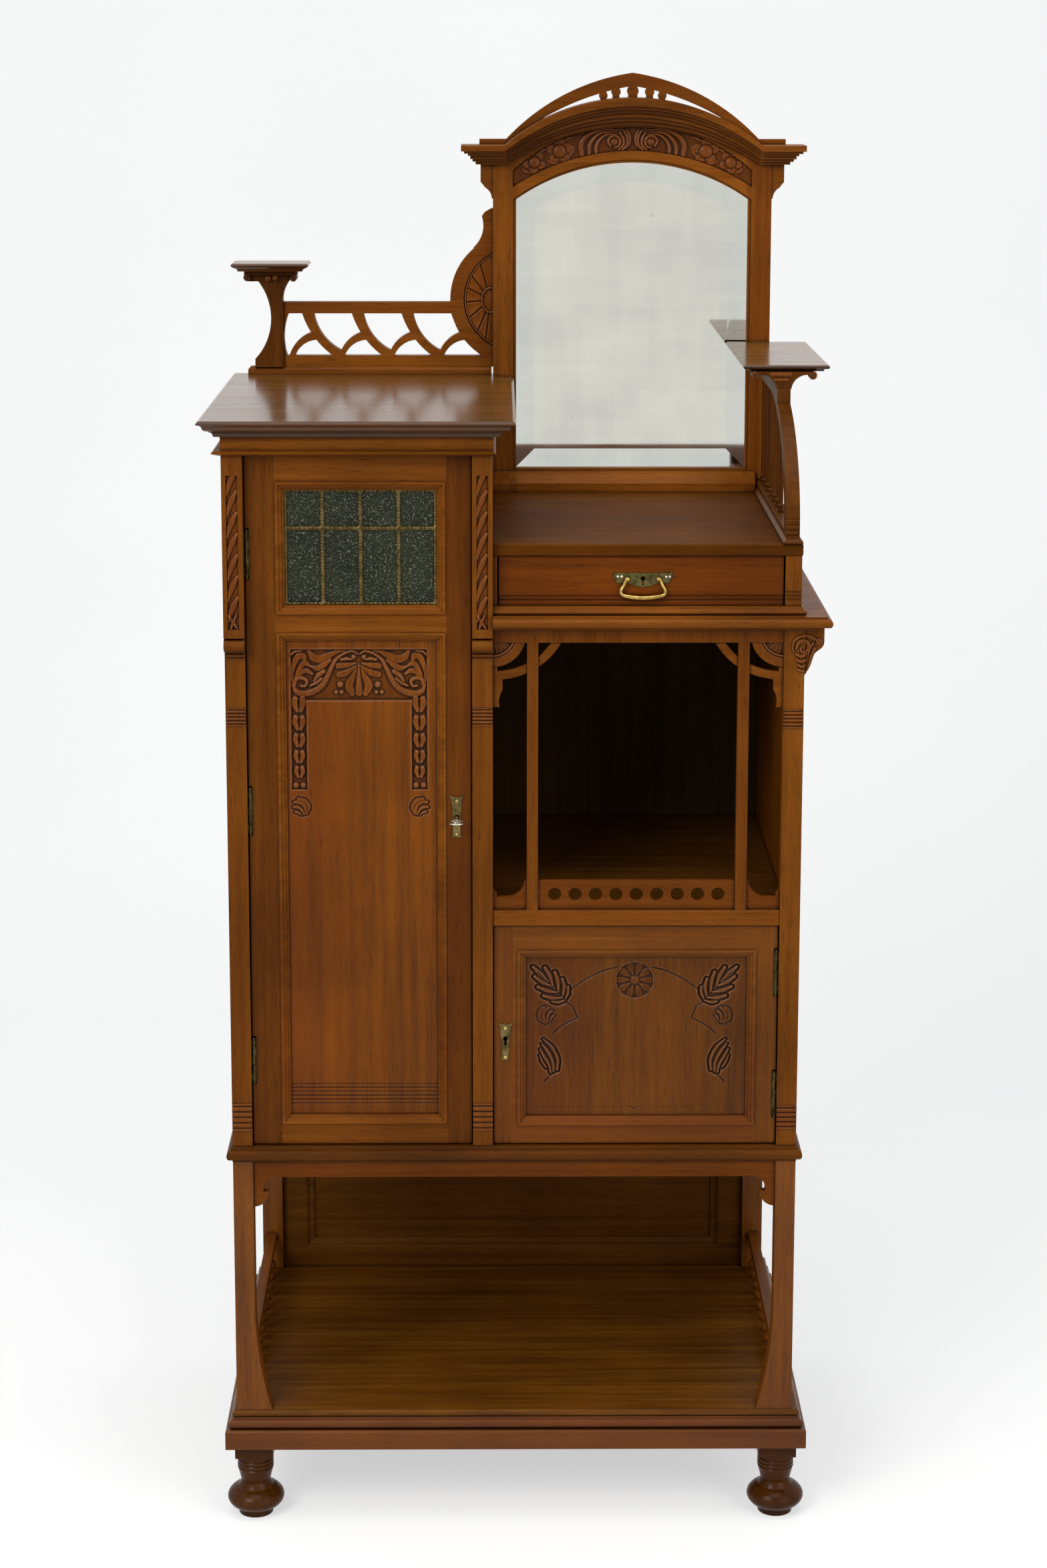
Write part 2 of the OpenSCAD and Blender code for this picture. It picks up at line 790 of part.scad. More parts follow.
// Frame with a sunk panel for the carving in its head
module mirror_frame() {
  head = 4.7;
  placed() color(walnut)
    union() {
      difference() {
        run_back([y_mirror, y_back])
          difference() {
            intersection() {
              translate([x_bay, z_mirror]) square([x_mirror - x_bay, z_cornice + cornice_rise - z_mirror]);
              cornice_outline(cornice_h, 0);
            }
            arched(mirror_mid, glass_half, z_glass, z_spring, glass_rise);
          }
        run_back([y_mirror - 1, y_mirror + 3])
          arched(mirror_mid, glass_half + 4, z_glass - 1, z_spring, glass_rise + 4);
        run_back([y_mirror - 1, y_mirror + 3])
          difference() {
            intersection() {
              arched(mirror_mid, glass_half + head, z_glass, z_spring + 38.5, glass_rise + 12.5);
              cornice_outline(cornice_h + 2, 0);
            }
            arched(mirror_mid, glass_half + head + 1, z_glass - 1, z_spring + 15.5, glass_rise);
          }
        run_back([y_mirror + 12, y_back + 1])
          arched(mirror_mid, glass_half + rebate, z_glass - rebate, z_spring, glass_rise + rebate);
      }
      moulded_slab(
        [x_bay, x_unit - 22], [y_mirror - 20, y_mirror], z_mirror,
        [[0, 0], [0, 12], [3, 15], [14, 22], [16, mirror_rail_h - 4]], left = 0, right = 0);
    }
}

module mirror_glass()
  placed() color([0.80, 0.85, 0.86])
    run_back([y_mirror + 12, y_mirror + 16])
      arched(mirror_mid, glass_half + rebate, z_glass - rebate, z_spring, glass_rise + rebate);

module mirror_backboard()
  placed() color(walnut_dark)
    run_back([y_mirror + 16, y_mirror + 24])
      arched(mirror_mid, glass_half + rebate, z_glass - rebate, z_spring, glass_rise + rebate);

cornice_half = mirror_half - 15.75;
cornice_rise = 62;
z_cornice = z_arch + 24;

function arch_r(half, rise) = (half * half + rise * rise) / (2 * rise);

// Level ends and a low arch between them, lowered by "drop" and flatter the lower it lies
module cornice_outline(drop, inset) {
  half = mirror_half + cornice_side - inset;
  z = z_cornice - drop;
  rise = cornice_rise - 0.4 * drop;
  r = arch_r(cornice_half, rise);
  intersection() {
    translate([mirror_mid - half, z_mirror]) square([2 * half, z + rise - z_mirror]);
    union() {
      translate([mirror_mid - half, z_mirror]) square([2 * half, z - z_mirror]);
      translate([mirror_mid, z + rise - r]) circle(r = r, $fn = 160);
    }
  }
}

// Stepped moulding, deepest at its top fillet, with a small scrolled block under each end
module mirror_cornice() {
  steps = [[0, 0, 40], [8, 4, 36], [11, 9, 31], [14, 12, 25], [18.5, 15, 19], [22, 19, 12],
    [cornice_h, 38, 0]];
  placed() color(walnut)
    union() {
      for (i = [0:len(steps) - 2])
        run_back([y_mirror - steps[i][2], y_mirror + 20])
          difference() {
            cornice_outline(steps[i][0], steps[i][1]);
            cornice_outline(steps[i + 1][0], -5);
          }
      run_back([y_mirror + 2, y_mirror + 20])
        for (side = [0, 1])
          translate([side == 0 ? x_bay : x_mirror, z_cornice - cornice_h]) mirror([1 - side, 0])
            polygon(concat(
              [[0, 0], [16.5, 0], [16.5, -23.5], [13, -27.5]],
              arc([18.5, -46], [17, 17], 118, 178, 6), [[0, -46]]));
    }
}

// Pointed arch of two arcs whose centres lie "a" beyond the middle; it falls by h
// at the distance "far" from the middle
module pointed_arch(a, far, h) {
  drop = (pow(far + a, 2) - a * a + h * h) / (2 * h);
  r = sqrt(a * a + drop * drop);
  intersection() {
    translate([-a, -drop]) circle(r = r, $fn = 200);
    translate([a, -drop]) circle(r = r, $fn = 200);
  }
}

// Pointed crest with a pierced band on short swelling balusters
module mirror_crest() {
  z = z_cornice + cornice_rise + crest_h;
  band = 17.2;
  fall = cornice_rise + crest_h;
  ends = cornice_half - 2;
  open = cornice_half - 52;
  low_r = arch_r(cornice_half, cornice_rise);
  placed() color(walnut)
    run_back([y_mirror + 4, y_mirror + 18])
      translate([mirror_mid, 0]) {
        difference() {
          union() {
            intersection() {
              translate([0, z]) pointed_arch(39.5, cornice_half + 4.4, fall);
              translate([-ends, z_cornice]) square([2 * ends, fall + 10]);
            }
            for (s = [-1, 1])
              translate([s * mirror_half - 18, z_cornice]) square([36, 7]);
          }
          translate([0, z_cornice + cornice_rise - low_r]) circle(r = low_r, $fn = 160);
          difference() {
            intersection() {
              translate([0, z - band]) pointed_arch(55.8, cornice_half - 1.9, fall - band);
              translate([-open, z_cornice]) square([2 * open, fall]);
            }
            for (s = [-1, 1]) {
              crest_post(s * 22.35, 9, z - 25);
              crest_post(s * 39.1, 8, z - 30);
            }
            crest_post(0, 12, z - 24);
          }
        }
      }
}

// Baluster outline that swells at its middle
module crest_post(x, w, z) {
  translate([x - w / 2, z - 20]) square([w, 40]);
  translate([x, z]) circle(r = w / 2 + 1.6, $fn = 32);
}

// Right arm gallery

arm_x = [x_unit - 20, x_unit - 3.6];
z_arm = z_mirror + 6;
z_arm_shelf = z_mirror + arm_h;
y_arm = y_post + 3;
arm_out = [245, 148];
arm_in = [216, 154];
capital_y = [y_arm + 146, y_arm + 168];

module arm_under()
  polygon(concat([[y_arm + 25, z_arm]], arc([y_arm + 247, z_arm], arm_in, 180, 90, 14),
    [[y_mirror, z_arm + arm_in[1]], [y_mirror, z_arm]]));

// Curved front member, its rail on the drawer unit, and its foot moulding
module arm_frame()
  placed() color(walnut) {
    difference() {
      run_across(arm_x)
        difference() {
          polygon(concat(
            [[y_arm, z_arm]],
            arc([y_arm + 245, z_arm + 12], arm_out, 180, 114, 12),
            [[capital_y[0], z_arm_shelf - 30], [capital_y[1], z_arm_shelf - 30],
             [capital_y[1], z_arm_shelf - 8], [y_mirror, z_arm_shelf - 8], [y_mirror, z_arm]]));
          difference() {
            arm_under();
            translate([y_arm, z_arm]) square([y_mirror, 8]);
          }
        }
      grooves(arm_x, y_arm, z_arm + 4, 6.6, 4);
    }
    moulded_slab([arm_x[0] - 4, arm_x[1] + 4.5], [y_arm - 5, y_mirror - 20], z_mirror,
      [[1.5, 0], [0, 2], [4, 6]]);
  }

module arm_spindles()
  placed() color(walnut_dark)
    intersection() {
      run_across(arm_x) arm_under();
      for (i = [0:spindles - 1])
        translate([(arm_x[0] + arm_x[1]) / 2, y_arm + 160 + i * (y_mirror - y_arm - 175) / (spindles - 1), z_arm + 8]) {
          cylinder(r = 2.6, h = 170, $fn = 20);
          cylinder(r = 3.8, h = 4, $fn = 20);
          translate([0, 0, 8]) sphere(r = 3.9, $fn = 20);
        }
    }

// Scrolled capital under the front of the arm shelf
module arm_capital() {
  mid = (arm_x[0] + arm_x[1]) / 2;
  z = z_arm_shelf - 8;
  placed() color(walnut)
    run_back(capital_y)
      translate([mid, z]) {
        translate([-9, -22]) square([18, 22]);
        translate([-36, -4]) square([72, 4]);
        for (side = [0, 1])
          mirror([side, 0]) {
            difference() {
              translate([0, -22]) square([30, 20]);
              translate([29, -24]) circle(r = 20, $fn = 60);
            }
            translate([36, -5]) circle(r = 5, $fn = 32);
          }
      }
}

module arm_shelf() {
  mid = (arm_x[0] + arm_x[1]) / 2;
  placed() color(walnut)
    moulded_slab(
      [mid - 51, plinth_w + shelf_side], [y_arm + 145, y_mirror], z_arm_shelf - 8,
      [[7, 0], [6, 2.5], [1.5, 3.2], [0, 4.5], [0, 6.5], [1.5, 8]]);
}

// Doors

pin_y = y_door - 1;
pin_r = 1.1;
barrel_r = 2;
leaf_t = 0.7;
knuckle = 10.8;
tall_pin_x = x_tall + hinge_gap / 2;
low_pin_x = x_post - hinge_gap / 2;
tall_hinges = [z_doors + 84, z_doors + 405, z_doors + 726];
low_hinges = [z_doors + 39, z_doors + 197];

// One leaf of a butt hinge; "side" is the way from the pin to its leaf, and the
// knuckles that it carries are listed by their order up the barrel
module hinge_leaf(x, side, z, knuckles, bored) {
  off = hinge_gap / 2;
  leaf = [x + side * (off - leaf_t), x + side * off];
  board([min(leaf), max(leaf)], [pin_y - 1, pin_y + 18], [z, z + 5 * knuckle]);
  difference() {
    for (k = knuckles) {
      translate([x, pin_y, z + k * knuckle + 0.15]) cylinder(r = barrel_r, h = knuckle - 0.3, $fn = 24);
      web = [x + side * 1.3, x + side * (off - leaf_t / 2)];
      board([min(web), max(web)], [pin_y - 1, pin_y + 1],
        [z + k * knuckle + 0.15, z + (k + 1) * knuckle - 0.15]);
    }
    if (bored)
      translate([x, pin_y, z - 1]) cylinder(r = pin_r + 0.05, h = 5 * knuckle + 2, $fn = 24);
  }
}

module hinge_pin(x, z)
  translate([x, pin_y, z - 2]) {
    cylinder(r = pin_r, h = 5 * knuckle + 4, $fn = 24);
    translate([0, 0, -1]) cylinder(r = barrel_r, h = 3, $fn = 24);
    translate([0, 0, 5 * knuckle + 2.15]) cylinder(r = barrel_r, h = 3, $fn = 24);
  }

// Leaves on the posts, with the pins
module hinge_posts()
  placed() color(brass) {
    for (z = tall_hinges) {
      hinge_leaf(tall_pin_x, -1, z, [0, 2, 4], false);
      hinge_pin(tall_pin_x, z);
    }
    for (z = low_hinges) {
      hinge_leaf(low_pin_x, 1, z, [0, 2, 4], false);
      hinge_pin(low_pin_x, z);
    }
  }

module tall_hinge_leaves()
  placed() color(brass)
    for (z = tall_hinges) hinge_leaf(tall_pin_x, 1, z, [1, 3], true);

module low_hinge_leaves()
  placed() color(brass)
    for (z = low_hinges) hinge_leaf(low_pin_x, -1, z, [1, 3], true);

tall_door_x = [x_tall + gap, x_centre - gap];
tall_door_z = [z_doors + gap, z_point - gap];
low_door_x = [x_bay + gap, x_post - gap];
low_door_z = [z_doors + gap, z_floor - gap];
light_x = [tall_door_x[0] + tall_hinge_stile + mould_w, tall_door_x[1] - tall_stile - mould_w];
light_z = [z_point - 45 - light_h, z_point - 45];
tall_panel_z = [z_doors + 38, light_z[0] - 44];
low_panel_x = [low_door_x[0] + lock_stile + mould_w, low_door_x[1] - hinge_stile - mould_w];
low_panel_z = [z_doors + 35.5, z_floor - 43];
key_x = tall_door_x[1] - 18;
key_z = z_doors + 424;
low_key_x = low_door_x[0] + 14;
low_key_z = z_doors + 139;
panel_in = 8;
panel_t = 8;
panel_edge = 5;

// Panel opening with a planted moulding round it and a rebate behind
module panel_opening(x, z) {
  m = mould_w;
  sinking([x[0] - m, x[1] + m], y_door, [z[0] - m, z[1] + m],
    [[2, -4], [2, -2], [3.5, -1.6], [4.5, 0.5], [7, 1.5], [9, 4.5], [m, 5], [m, panel_in + 1]]);
  board([x[0] - panel_edge, x[1] + panel_edge], [y_door + panel_in, y_door + door_t + 1],
    [z[0] - panel_edge, z[1] + panel_edge]);
}

// Flat field of the moulding, proud of the door's face
module panel_surround(x, z) {
  m = mould_w;
  board([x[0] - m, x[1] + m], [y_door - 2, y_door + 1], [z[0] - m, z[1] + m]);
}

// Keyhole through a door or plate
module keyhole(x, y, z) {
  translate([x, y[1], z]) rotate([90, 0, 0]) cylinder(r = 3, h = y[1] - y[0], $fn = 32);
  board([x - 1.3, x + 1.3], y, [z - 9, z]);
}

// Pockets in a door's edge for its hinges
module hinge_pockets(x, hinges)
  for (z = hinges)
    board(x, [y_door - 3, pin_y + 18], [z - 4, z + 5 * knuckle + 4.5]);

module tall_door_frame()
  placed() color(walnut)
    difference() {
      union() {
        board(tall_door_x, [y_door, y_door + door_t], tall_door_z);
        panel_surround(light_x, light_z);
        panel_surround(light_x, tall_panel_z);
      }
      panel_opening(light_x, light_z);
      panel_opening(light_x, tall_panel_z);
      keyhole(key_x, [y_door - 1, y_door + door_t + 1], key_z);
      hinge_pockets([x_tall, x_tall + hinge_gap], tall_hinges);
    }

// Panel with a sunk ground for the carving and a band of level reeds at its foot
module tall_door_panel() {
  x = light_x;
  z = tall_panel_z;
  y = y_door + panel_in;
  ground = [x[0] + 5.2, x[1] - 12.3];
  drop_w = 19.5;
  grooves = 6;
  placed() color(walnut)
    difference() {
      board([x[0] - panel_edge, x[1] + panel_edge], [y, y + panel_t],
        [z[0] - panel_edge, z[1] + panel_edge]);
      board(ground, [y - 1, y + 3], [z[1] - 75.5, z[1] - 11.5]);
      for (g = [ground[0], ground[1] - drop_w])
        board([g, g + drop_w], [y - 1, y + 3], [z[1] - 188, z[1] - 75]);
      for (i = [0:grooves - 1])
        translate([x[0] - panel_edge - 1, y - 0.4, z[0] + 13.8 + i * 5.16]) rotate([0, 90, 0])
          cylinder(r = 2, h = x[1] - x[0] + 2 * panel_edge + 2, $fn = 20);
    }
}

module leaded_glass()
  placed() color([0.45, 0.55, 0.42, 0.7])
    board([light_x[0] - panel_edge, light_x[1] + panel_edge], [y_door + panel_in + 2, y_door + panel_in + 5],
      [light_z[0] - panel_edge, light_z[1] + panel_edge]);

// Flat metal strips that divide the light
module glass_cames() {
  w = 4.6;
  y = [y_door + panel_in, y_door + panel_in + 2];
  in = panel_edge;
  x = [light_x[0] - in, light_x[1] + in];
  z = [light_z[0] - in, light_z[1] + in];
  pitch = (light_x[1] - light_x[0]) / 4;
  placed() color(brass)
    union() {
      for (i = [1:3])
        board([light_x[0] + i * pitch - w / 2, light_x[0] + i * pitch + w / 2], y, z);
      board(x, y, [light_z[1] - 47.5 - w / 2, light_z[1] - 47.5 + w / 2]);
      board([x[0], x[0] + in + 1], y, z);
      board([x[1] - in - 1, x[1]], y, z);
      board(x, y, [z[0], z[0] + in + 1]);
      board(x, y, [z[1] - in - 1, z[1]]);
    }
}

lock_x = [tall_door_x[1] - 31, tall_door_x[1] - 2.5];
lock_y = [y_door + door_t, y_door + door_t + 12];
lock_z = [key_z - 28, key_z + 34];

// Box lock on the back of the tall door, hollow for the key's bit and the bolt
module tall_lock() {
  wall = 1.5;
  placed() color([0.45, 0.43, 0.40])
    difference() {
      board(lock_x, lock_y, lock_z);
      board([lock_x[0] + wall, lock_x[1] - wall], [lock_y[0] - 1, lock_y[1] - wall],
        [lock_z[0] + wall, lock_z[1] - wall]);
      board([lock_x[1] - 3, lock_x[1] + 1], [lock_y[0] + 1.7, lock_y[0] + 7.3], [key_z + 8.7, key_z + 19.3]);
      translate([key_x, lock_y[1] + 1, key_z]) rotate([90, 0, 0]) cylinder(r = 2.05, h = 4, $fn = 32);
    }
}

module lock_bolt()
  placed() color(brass)
    board([lock_x[0] + 4, lock_x[1] + 0.5], [lock_y[0] + 2, lock_y[0] + 7], [key_z + 9, key_z + 19]);

// Lobed key plate: round ends on a straight body
module key_plate(x, z, h, w) {
  r = w / 2;
  placed() color(brass)
    difference() {
      run_back([y_door - 1.2, y_door])
        union() {
          translate([x - r * 0.75, z - h / 2 + r]) square([r * 1.5, h - 2 * r]);
          translate([x, z]) circle(r = r * 1.1, $fn = 40);
          translate([x, z + h / 2 - r]) circle(r = r * 0.95, $fn = 40);
          translate([x, z - h / 2 + r]) circle(r = r * 0.95, $fn = 40);
          translate([x, z + h / 2 - 1]) circle(r = 3, $fn = 24);
          translate([x, z - h / 2 + 1]) circle(r = 3, $fn = 24);
        }
      keyhole(x, [y_door - 2, y_door + 1], z);
    }
}

module tall_escutcheon() key_plate(key_x, key_z, 54, 18);
module low_escutcheon() key_plate(low_key_x, low_key_z, 52, 18);

// Key with a pierced bow, its bit inside the lock
module key() {
  shank_r = 2;
  bow_y = y_door - 20;
  placed() color([0.55, 0.52, 0.47])
    union() {
      translate([key_x, lock_y[1] + 1.5, key_z]) rotate([90, 0, 0])
        cylinder(r = shank_r, h = lock_y[1] + 1.5 - bow_y, $fn = 32);
      board([key_x - 0.9, key_x + 0.9], [lock_y[0] + 3, lock_y[1] - 3], [key_z - 8, key_z - 1]);
      translate([key_x, y_door - 8, key_z]) rotate([90, 0, 0]) cylinder(r = 3.2, h = 3, $fn = 32);
      difference() {
        translate([key_x, bow_y - 8, key_z]) rotate([0, 90, 0])
          translate([0, 0, -1.4]) cylinder(r = 9.5, h = 2.8, $fn = 40);
        translate([key_x, bow_y - 8, key_z]) rotate([0, 90, 0])
          translate([0, 0, -2]) cylinder(r = 5.5, h = 4, $fn = 32);
      }
    }
}

module low_door_frame()
  placed() color(walnut)
    difference() {
      union() {
        board(low_door_x, [y_door, y_door + door_t], low_door_z);
        panel_surround(low_panel_x, low_panel_z);
      }
      panel_opening(low_panel_x, low_panel_z);
      keyhole(low_key_x, [y_door - 1, y_door + door_t + 1], low_key_z);
      hinge_pockets([x_post - hinge_gap, x_post], low_hinges);
    }

// Panel with a rosette in a round sinking
module low_door_panel() {
  x = low_panel_x;
  z = low_panel_z;
  y = y_door + panel_in;
  rose = [(x[0] + x[1]) / 2 - 2, z[1] - 31];
  placed() color(walnut)
    union() {
      difference() {
        board([x[0] - panel_edge, x[1] + panel_edge], [y, y + panel_t],
          [z[0] - panel_edge, z[1] + panel_edge]);
        translate([rose[0], y + 2, rose[1]]) rotate([90, 0, 0]) cylinder(r = 23.2, h = 4, $fn = 64);
      }
      translate([rose[0], y + 2.5, rose[1]]) rotate([90, 0, 0]) cylinder(r = 6, h = 2.5, $fn = 32);
      for (a = [0:45:315])
        translate([rose[0] + 13.5 * cos(a), y + 2.5, rose[1] + 13.5 * sin(a)])
          rotate([90, 0, 0]) cylinder(r = 5, h = 1.8, $fn = 24);
    }
}

module low_lock() {
  placed() color([0.45, 0.43, 0.40])
    difference() {
      board([low_key_x - 11, low_key_x + 13], [lock_y[0], lock_y[0] + 10], [low_key_z - 24, low_key_z + 24]);
      board([low_key_x - 9.5, low_key_x + 11.5], [lock_y[0] - 1, lock_y[0] + 8.5],
        [low_key_z - 22.5, low_key_z + 22.5]);
    }
}

// Drawer

drawer_x = [x_bay + 7.5, x_unit - 22];
drawer_y = y_post + 8;
front_t = 18;
plate_mid = [(drawer_x[0] + drawer_x[1]) / 2 + 2, z_drawer + 33];
bail_half = 18.4;
bail_y = drawer_y - 6;

module drawer_front()
  placed() color(walnut)
    difference() {
      board([drawer_x[0], drawer_x[1]], [drawer_y, drawer_y + front_t], [z_drawer + 0.6, z_top - 1]);
      grooves(drawer_x, drawer_y, z_drawer + 7, 4.6, 2);
      translate([plate_mid[0], drawer_y + front_t + 1, plate_mid[1]]) rotate([90, 0, 0])
        cylinder(r = 2.5, h = front_t + 2, $fn = 24);
    }

module drawer_box() {
  side = 9;
  x = [drawer_x[0] + 1, drawer_x[1] - 1];
  y = [drawer_y + front_t, y_panel - 18];
  z = [z_drawer + 0.6, z_top - 9];
  placed() color([0.66, 0.50, 0.32])
    difference() {
      board(x, y, z);
      board([x[0] + side, x[1] - side], [y[0] - 1, y[1] - side], [z[0] + 6, z[1] + 1]);
    }
}

// Shaped brass plate with two bored posts for the drop handle
module drawer_plate() {
  half = 37;
  h = 21;
  placed() color(brass)
    difference() {
      union() {
        run_back([drawer_y - 1.3, drawer_y])
          translate([plate_mid[0], plate_mid[1]]) {
            translate([-half + 9, -h / 2 + 2]) square([2 * half - 18, h - 4]);
            for (s = [-1, 1]) {
              translate([s * (half - 9), 0]) circle(r = 9, $fn = 40);
              translate([s * bail_half, 2]) circle(r = h / 2, $fn = 40);
            }
            translate([0, -2]) circle(r = h / 2, $fn = 40);
          }
        for (s = [-1, 1])
          translate([plate_mid[0] + s * bail_half, drawer_y, plate_mid[1]])
            rotate([90, 0, 0]) cylinder(r = 3.2, h = drawer_y - bail_y + 2.6, $fn = 32);
      }
      translate([plate_mid[0] - 40, bail_y, plate_mid[1]]) rotate([0, 90, 0])
        cylinder(r = 1.25, h = 80, $fn = 24);
      keyhole(plate_mid[0], [drawer_y - 3, drawer_y + 1], plate_mid[1] + 1);
    }
}

// Drop handle: two pins, two arms and a bottom bar with round corners
module drawer_bail() {
  r = bail_r;
  half = bail_half + 8;
  drop = 22;
  bend = 9;
  z = plate_mid[1];
  placed() color(brass)
    translate([plate_mid[0], bail_y, z])
      union() {
        for (side = [0, 1])
          mirror([side, 0, 0]) {
            translate([bail_half - 3, 0, 0]) rotate([0, 90, 0]) cylinder(r = 1.2, h = 12, $fn = 24);
            translate([half, 0, 0]) sphere(r = 2.3, $fn = 24);
            translate([half, 0, -drop + bend]) cylinder(r = r, h = drop - bend, $fn = 24);
            translate([half - bend, 0, -drop + bend]) rotate([90, 0, 0])
              rotate([0, 0, 270]) rotate_extrude(angle = 90, $fn = 48)
                translate([bend, 0]) circle(r = r, $fn = 24);
          }
        translate([-half + bend, 0, -drop]) rotate([0, 90, 0])
          cylinder(r = r, h = 2 * (half - bend), $fn = 24);
      }
}

bun_feet();
plinth_board();
base_moulding();
bottom_shelf();
lower_legs();
lower_apron();
lower_back();
side_galleries();
waist_board();
pilasters();
right_post();
rope_mouldings();
side_boards();
back_boards();
tall_shelves();
niche_floor();
niche_rail_bars();
niche_fans();
niche_arcs();
pierced_strip();
post_corbel();
mid_board();
unit_moulding();
unit_sides();
unit_top();
cap_frieze();
cap_board();
gallery_base();
gallery_fret();
gallery_console();
gallery_shelf();
mirror_frame();
mirror_glass();
mirror_backboard();
mirror_cornice();
mirror_crest();
arm_frame();
arm_spindles();
arm_capital();
arm_shelf();
hinge_posts();
tall_door_frame();
tall_door_panel();
leaded_glass();
glass_cames();
tall_hinge_leaves();
tall_lock();
tall_escutcheon();
lock_bolt();
key();
low_door_frame();
low_door_panel();
low_hinge_leaves();
low_lock();
low_escutcheon();
drawer_front();
drawer_box();
drawer_plate();
drawer_bail();
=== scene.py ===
import math

import bmesh
import bpy
import numpy as np
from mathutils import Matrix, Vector


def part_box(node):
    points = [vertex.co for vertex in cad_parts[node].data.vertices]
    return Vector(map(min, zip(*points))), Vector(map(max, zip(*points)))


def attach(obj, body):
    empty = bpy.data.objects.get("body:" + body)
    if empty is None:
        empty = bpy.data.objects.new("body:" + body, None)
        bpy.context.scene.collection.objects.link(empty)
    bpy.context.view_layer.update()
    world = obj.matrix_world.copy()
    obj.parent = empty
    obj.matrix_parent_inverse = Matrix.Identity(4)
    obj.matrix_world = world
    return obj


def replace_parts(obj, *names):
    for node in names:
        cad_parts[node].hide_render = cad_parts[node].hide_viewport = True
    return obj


print("loading the cabinet")
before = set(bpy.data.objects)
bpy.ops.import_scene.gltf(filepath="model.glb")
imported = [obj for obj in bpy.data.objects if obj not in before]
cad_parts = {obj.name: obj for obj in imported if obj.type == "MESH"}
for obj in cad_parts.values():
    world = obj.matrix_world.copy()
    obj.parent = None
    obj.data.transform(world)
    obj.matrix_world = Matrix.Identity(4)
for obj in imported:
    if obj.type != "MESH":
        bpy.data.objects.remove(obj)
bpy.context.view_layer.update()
mm = 0.001
plinth = {"left": -375.0, "front": -235.0}  # the plinth's front left corner, mm in the frame


def spot(x, y, z):
    # mm from the plinth's front left corner and the floor, to metres in the frame
    return Vector(((x + plinth["left"]) * mm, (y + plinth["front"]) * mm, z * mm))


def tone(code):
    # sRGB hex to the linear colour that a socket takes
    parts = [int(code[i : i + 2], 16) / 255 for i in (1, 3, 5)]
    return [c / 12.92 if c <= 0.04045 else ((c + 0.055) / 1.055) ** 2.4 for c in parts] + [1.0]


def addNode(tree, kind, settings=None, links=None):
    # settings are the node's own, an input's or a ramp's stops; links go from sockets or nodes to inputs
    node = tree.nodes.new("ShaderNode" + kind)
    for key, value in (settings or {}).items():
        if key == "stops":
            band = node.color_ramp.elements
            for place, _ in value[1:-1]:
                band.new(place)
            for element, (place, colour) in zip(band, value):
                element.position, element.color = place, colour
        elif isinstance(key, int) or (key in node.inputs and not hasattr(node, str(key))):
            node.inputs[key].default_value = value
        else:
            setattr(node, key, value)
    for key, source in (links or {}).items():
        out = source.outputs[0] if isinstance(source, bpy.types.Node) else source
        tree.links.new(out, node.inputs[key])
    return node


def newMaterial(name):
    material = bpy.data.materials.new(name)
    material.use_nodes = True
    tree = material.node_tree
    tree.nodes.clear()
    shader = addNode(tree, "BsdfPrincipled")
    addNode(tree, "OutputMaterial", {}, {"Surface": shader})
    return material, tree, shader


woodLook = {
    "pale": "#915718",
    "mid": "#75410e",
    "deep": "#4c2909",
    "pore": "#2e1405",
    # pale for nicks and rubbed wear, and for the painted highlight on edges and carved crests
    "worn": "#a3683a",
    # dark for dirt, and for the painted shade in corners and carved hollows
    "grimeAndShade": "#150a04",
    "ruddy": "#5e2407",  # shellac darkened in broad stains
    "blush": 0.4,  # how much of that stain shows
    "dust": "#e0a95f",
    "haze": 0.0,  # dust and old wax that shows at a low angle
    "stretch": 0.035,  # the grain's pattern across it, as a part of its length along it
    "fibre": 1.3,  # mm between fibre streaks
    "poreWidth": 0.8,  # mm, drawn coarser than the real 0.2 so that it shows
    "ring": 30.0,  # mm across one sweep of the figure
    "figure": 0.16,  # how strongly the figure shows
    "spread": 0.4,  # the less, the harder the step from dark to pale
    "shine": 0.06,
    "railLight": 1.12,  # rails against the stiles they are framed in
    "edge": 0.8,  # mm of rounding that polish and hands leave on an edge
    "hollow": 6,  # mm across a corner that is darkened, for dirt and as painted shade
    "pocket": (0.88, 0.35),  # openness of a corner where its dirt and painted shade start, and where they are thickest
}


def drawGrain(tree, at, grain, rails, look):
    # coordinates drawn out along the grain, and moved for each board so that no two look the same
    thin = look["stretch"]
    along = {"x": (thin, 1, 1), "y": (1, thin, 1), "z": (1, 1, thin)}
    run = addNode(tree, "Mapping", {"Scale": along[grain]}, {"Vector": at})
    inside = None
    if rails:  # rails run across between the stiles of a frame
        middle, reach = (rails[0] + plinth["left"]) * mm, rails[1] * mm
        across = addNode(tree, "Mapping", {"Scale": along["x"], "Location": (0.4, 0.1, 0.7)}, {"Vector": at})
        apart = addNode(tree, "SeparateXYZ", {}, {0: at})
        inside = addNode(tree, "Math", {"operation": "COMPARE", 1: middle, 2: reach}, {0: apart.outputs["X"]})
        run = addNode(tree, "Mix", {"data_type": "VECTOR"}, {0: inside, 4: run, 5: across}).outputs[1]
    shift = addNode(tree, "ObjectInfo").outputs["Random"]
    far = addNode(tree, "Math", {"operation": "MULTIPLY", 1: 7.0}, {0: shift})
    return addNode(tree, "VectorMath", {"operation": "ADD"}, {0: run, 1: far}), inside


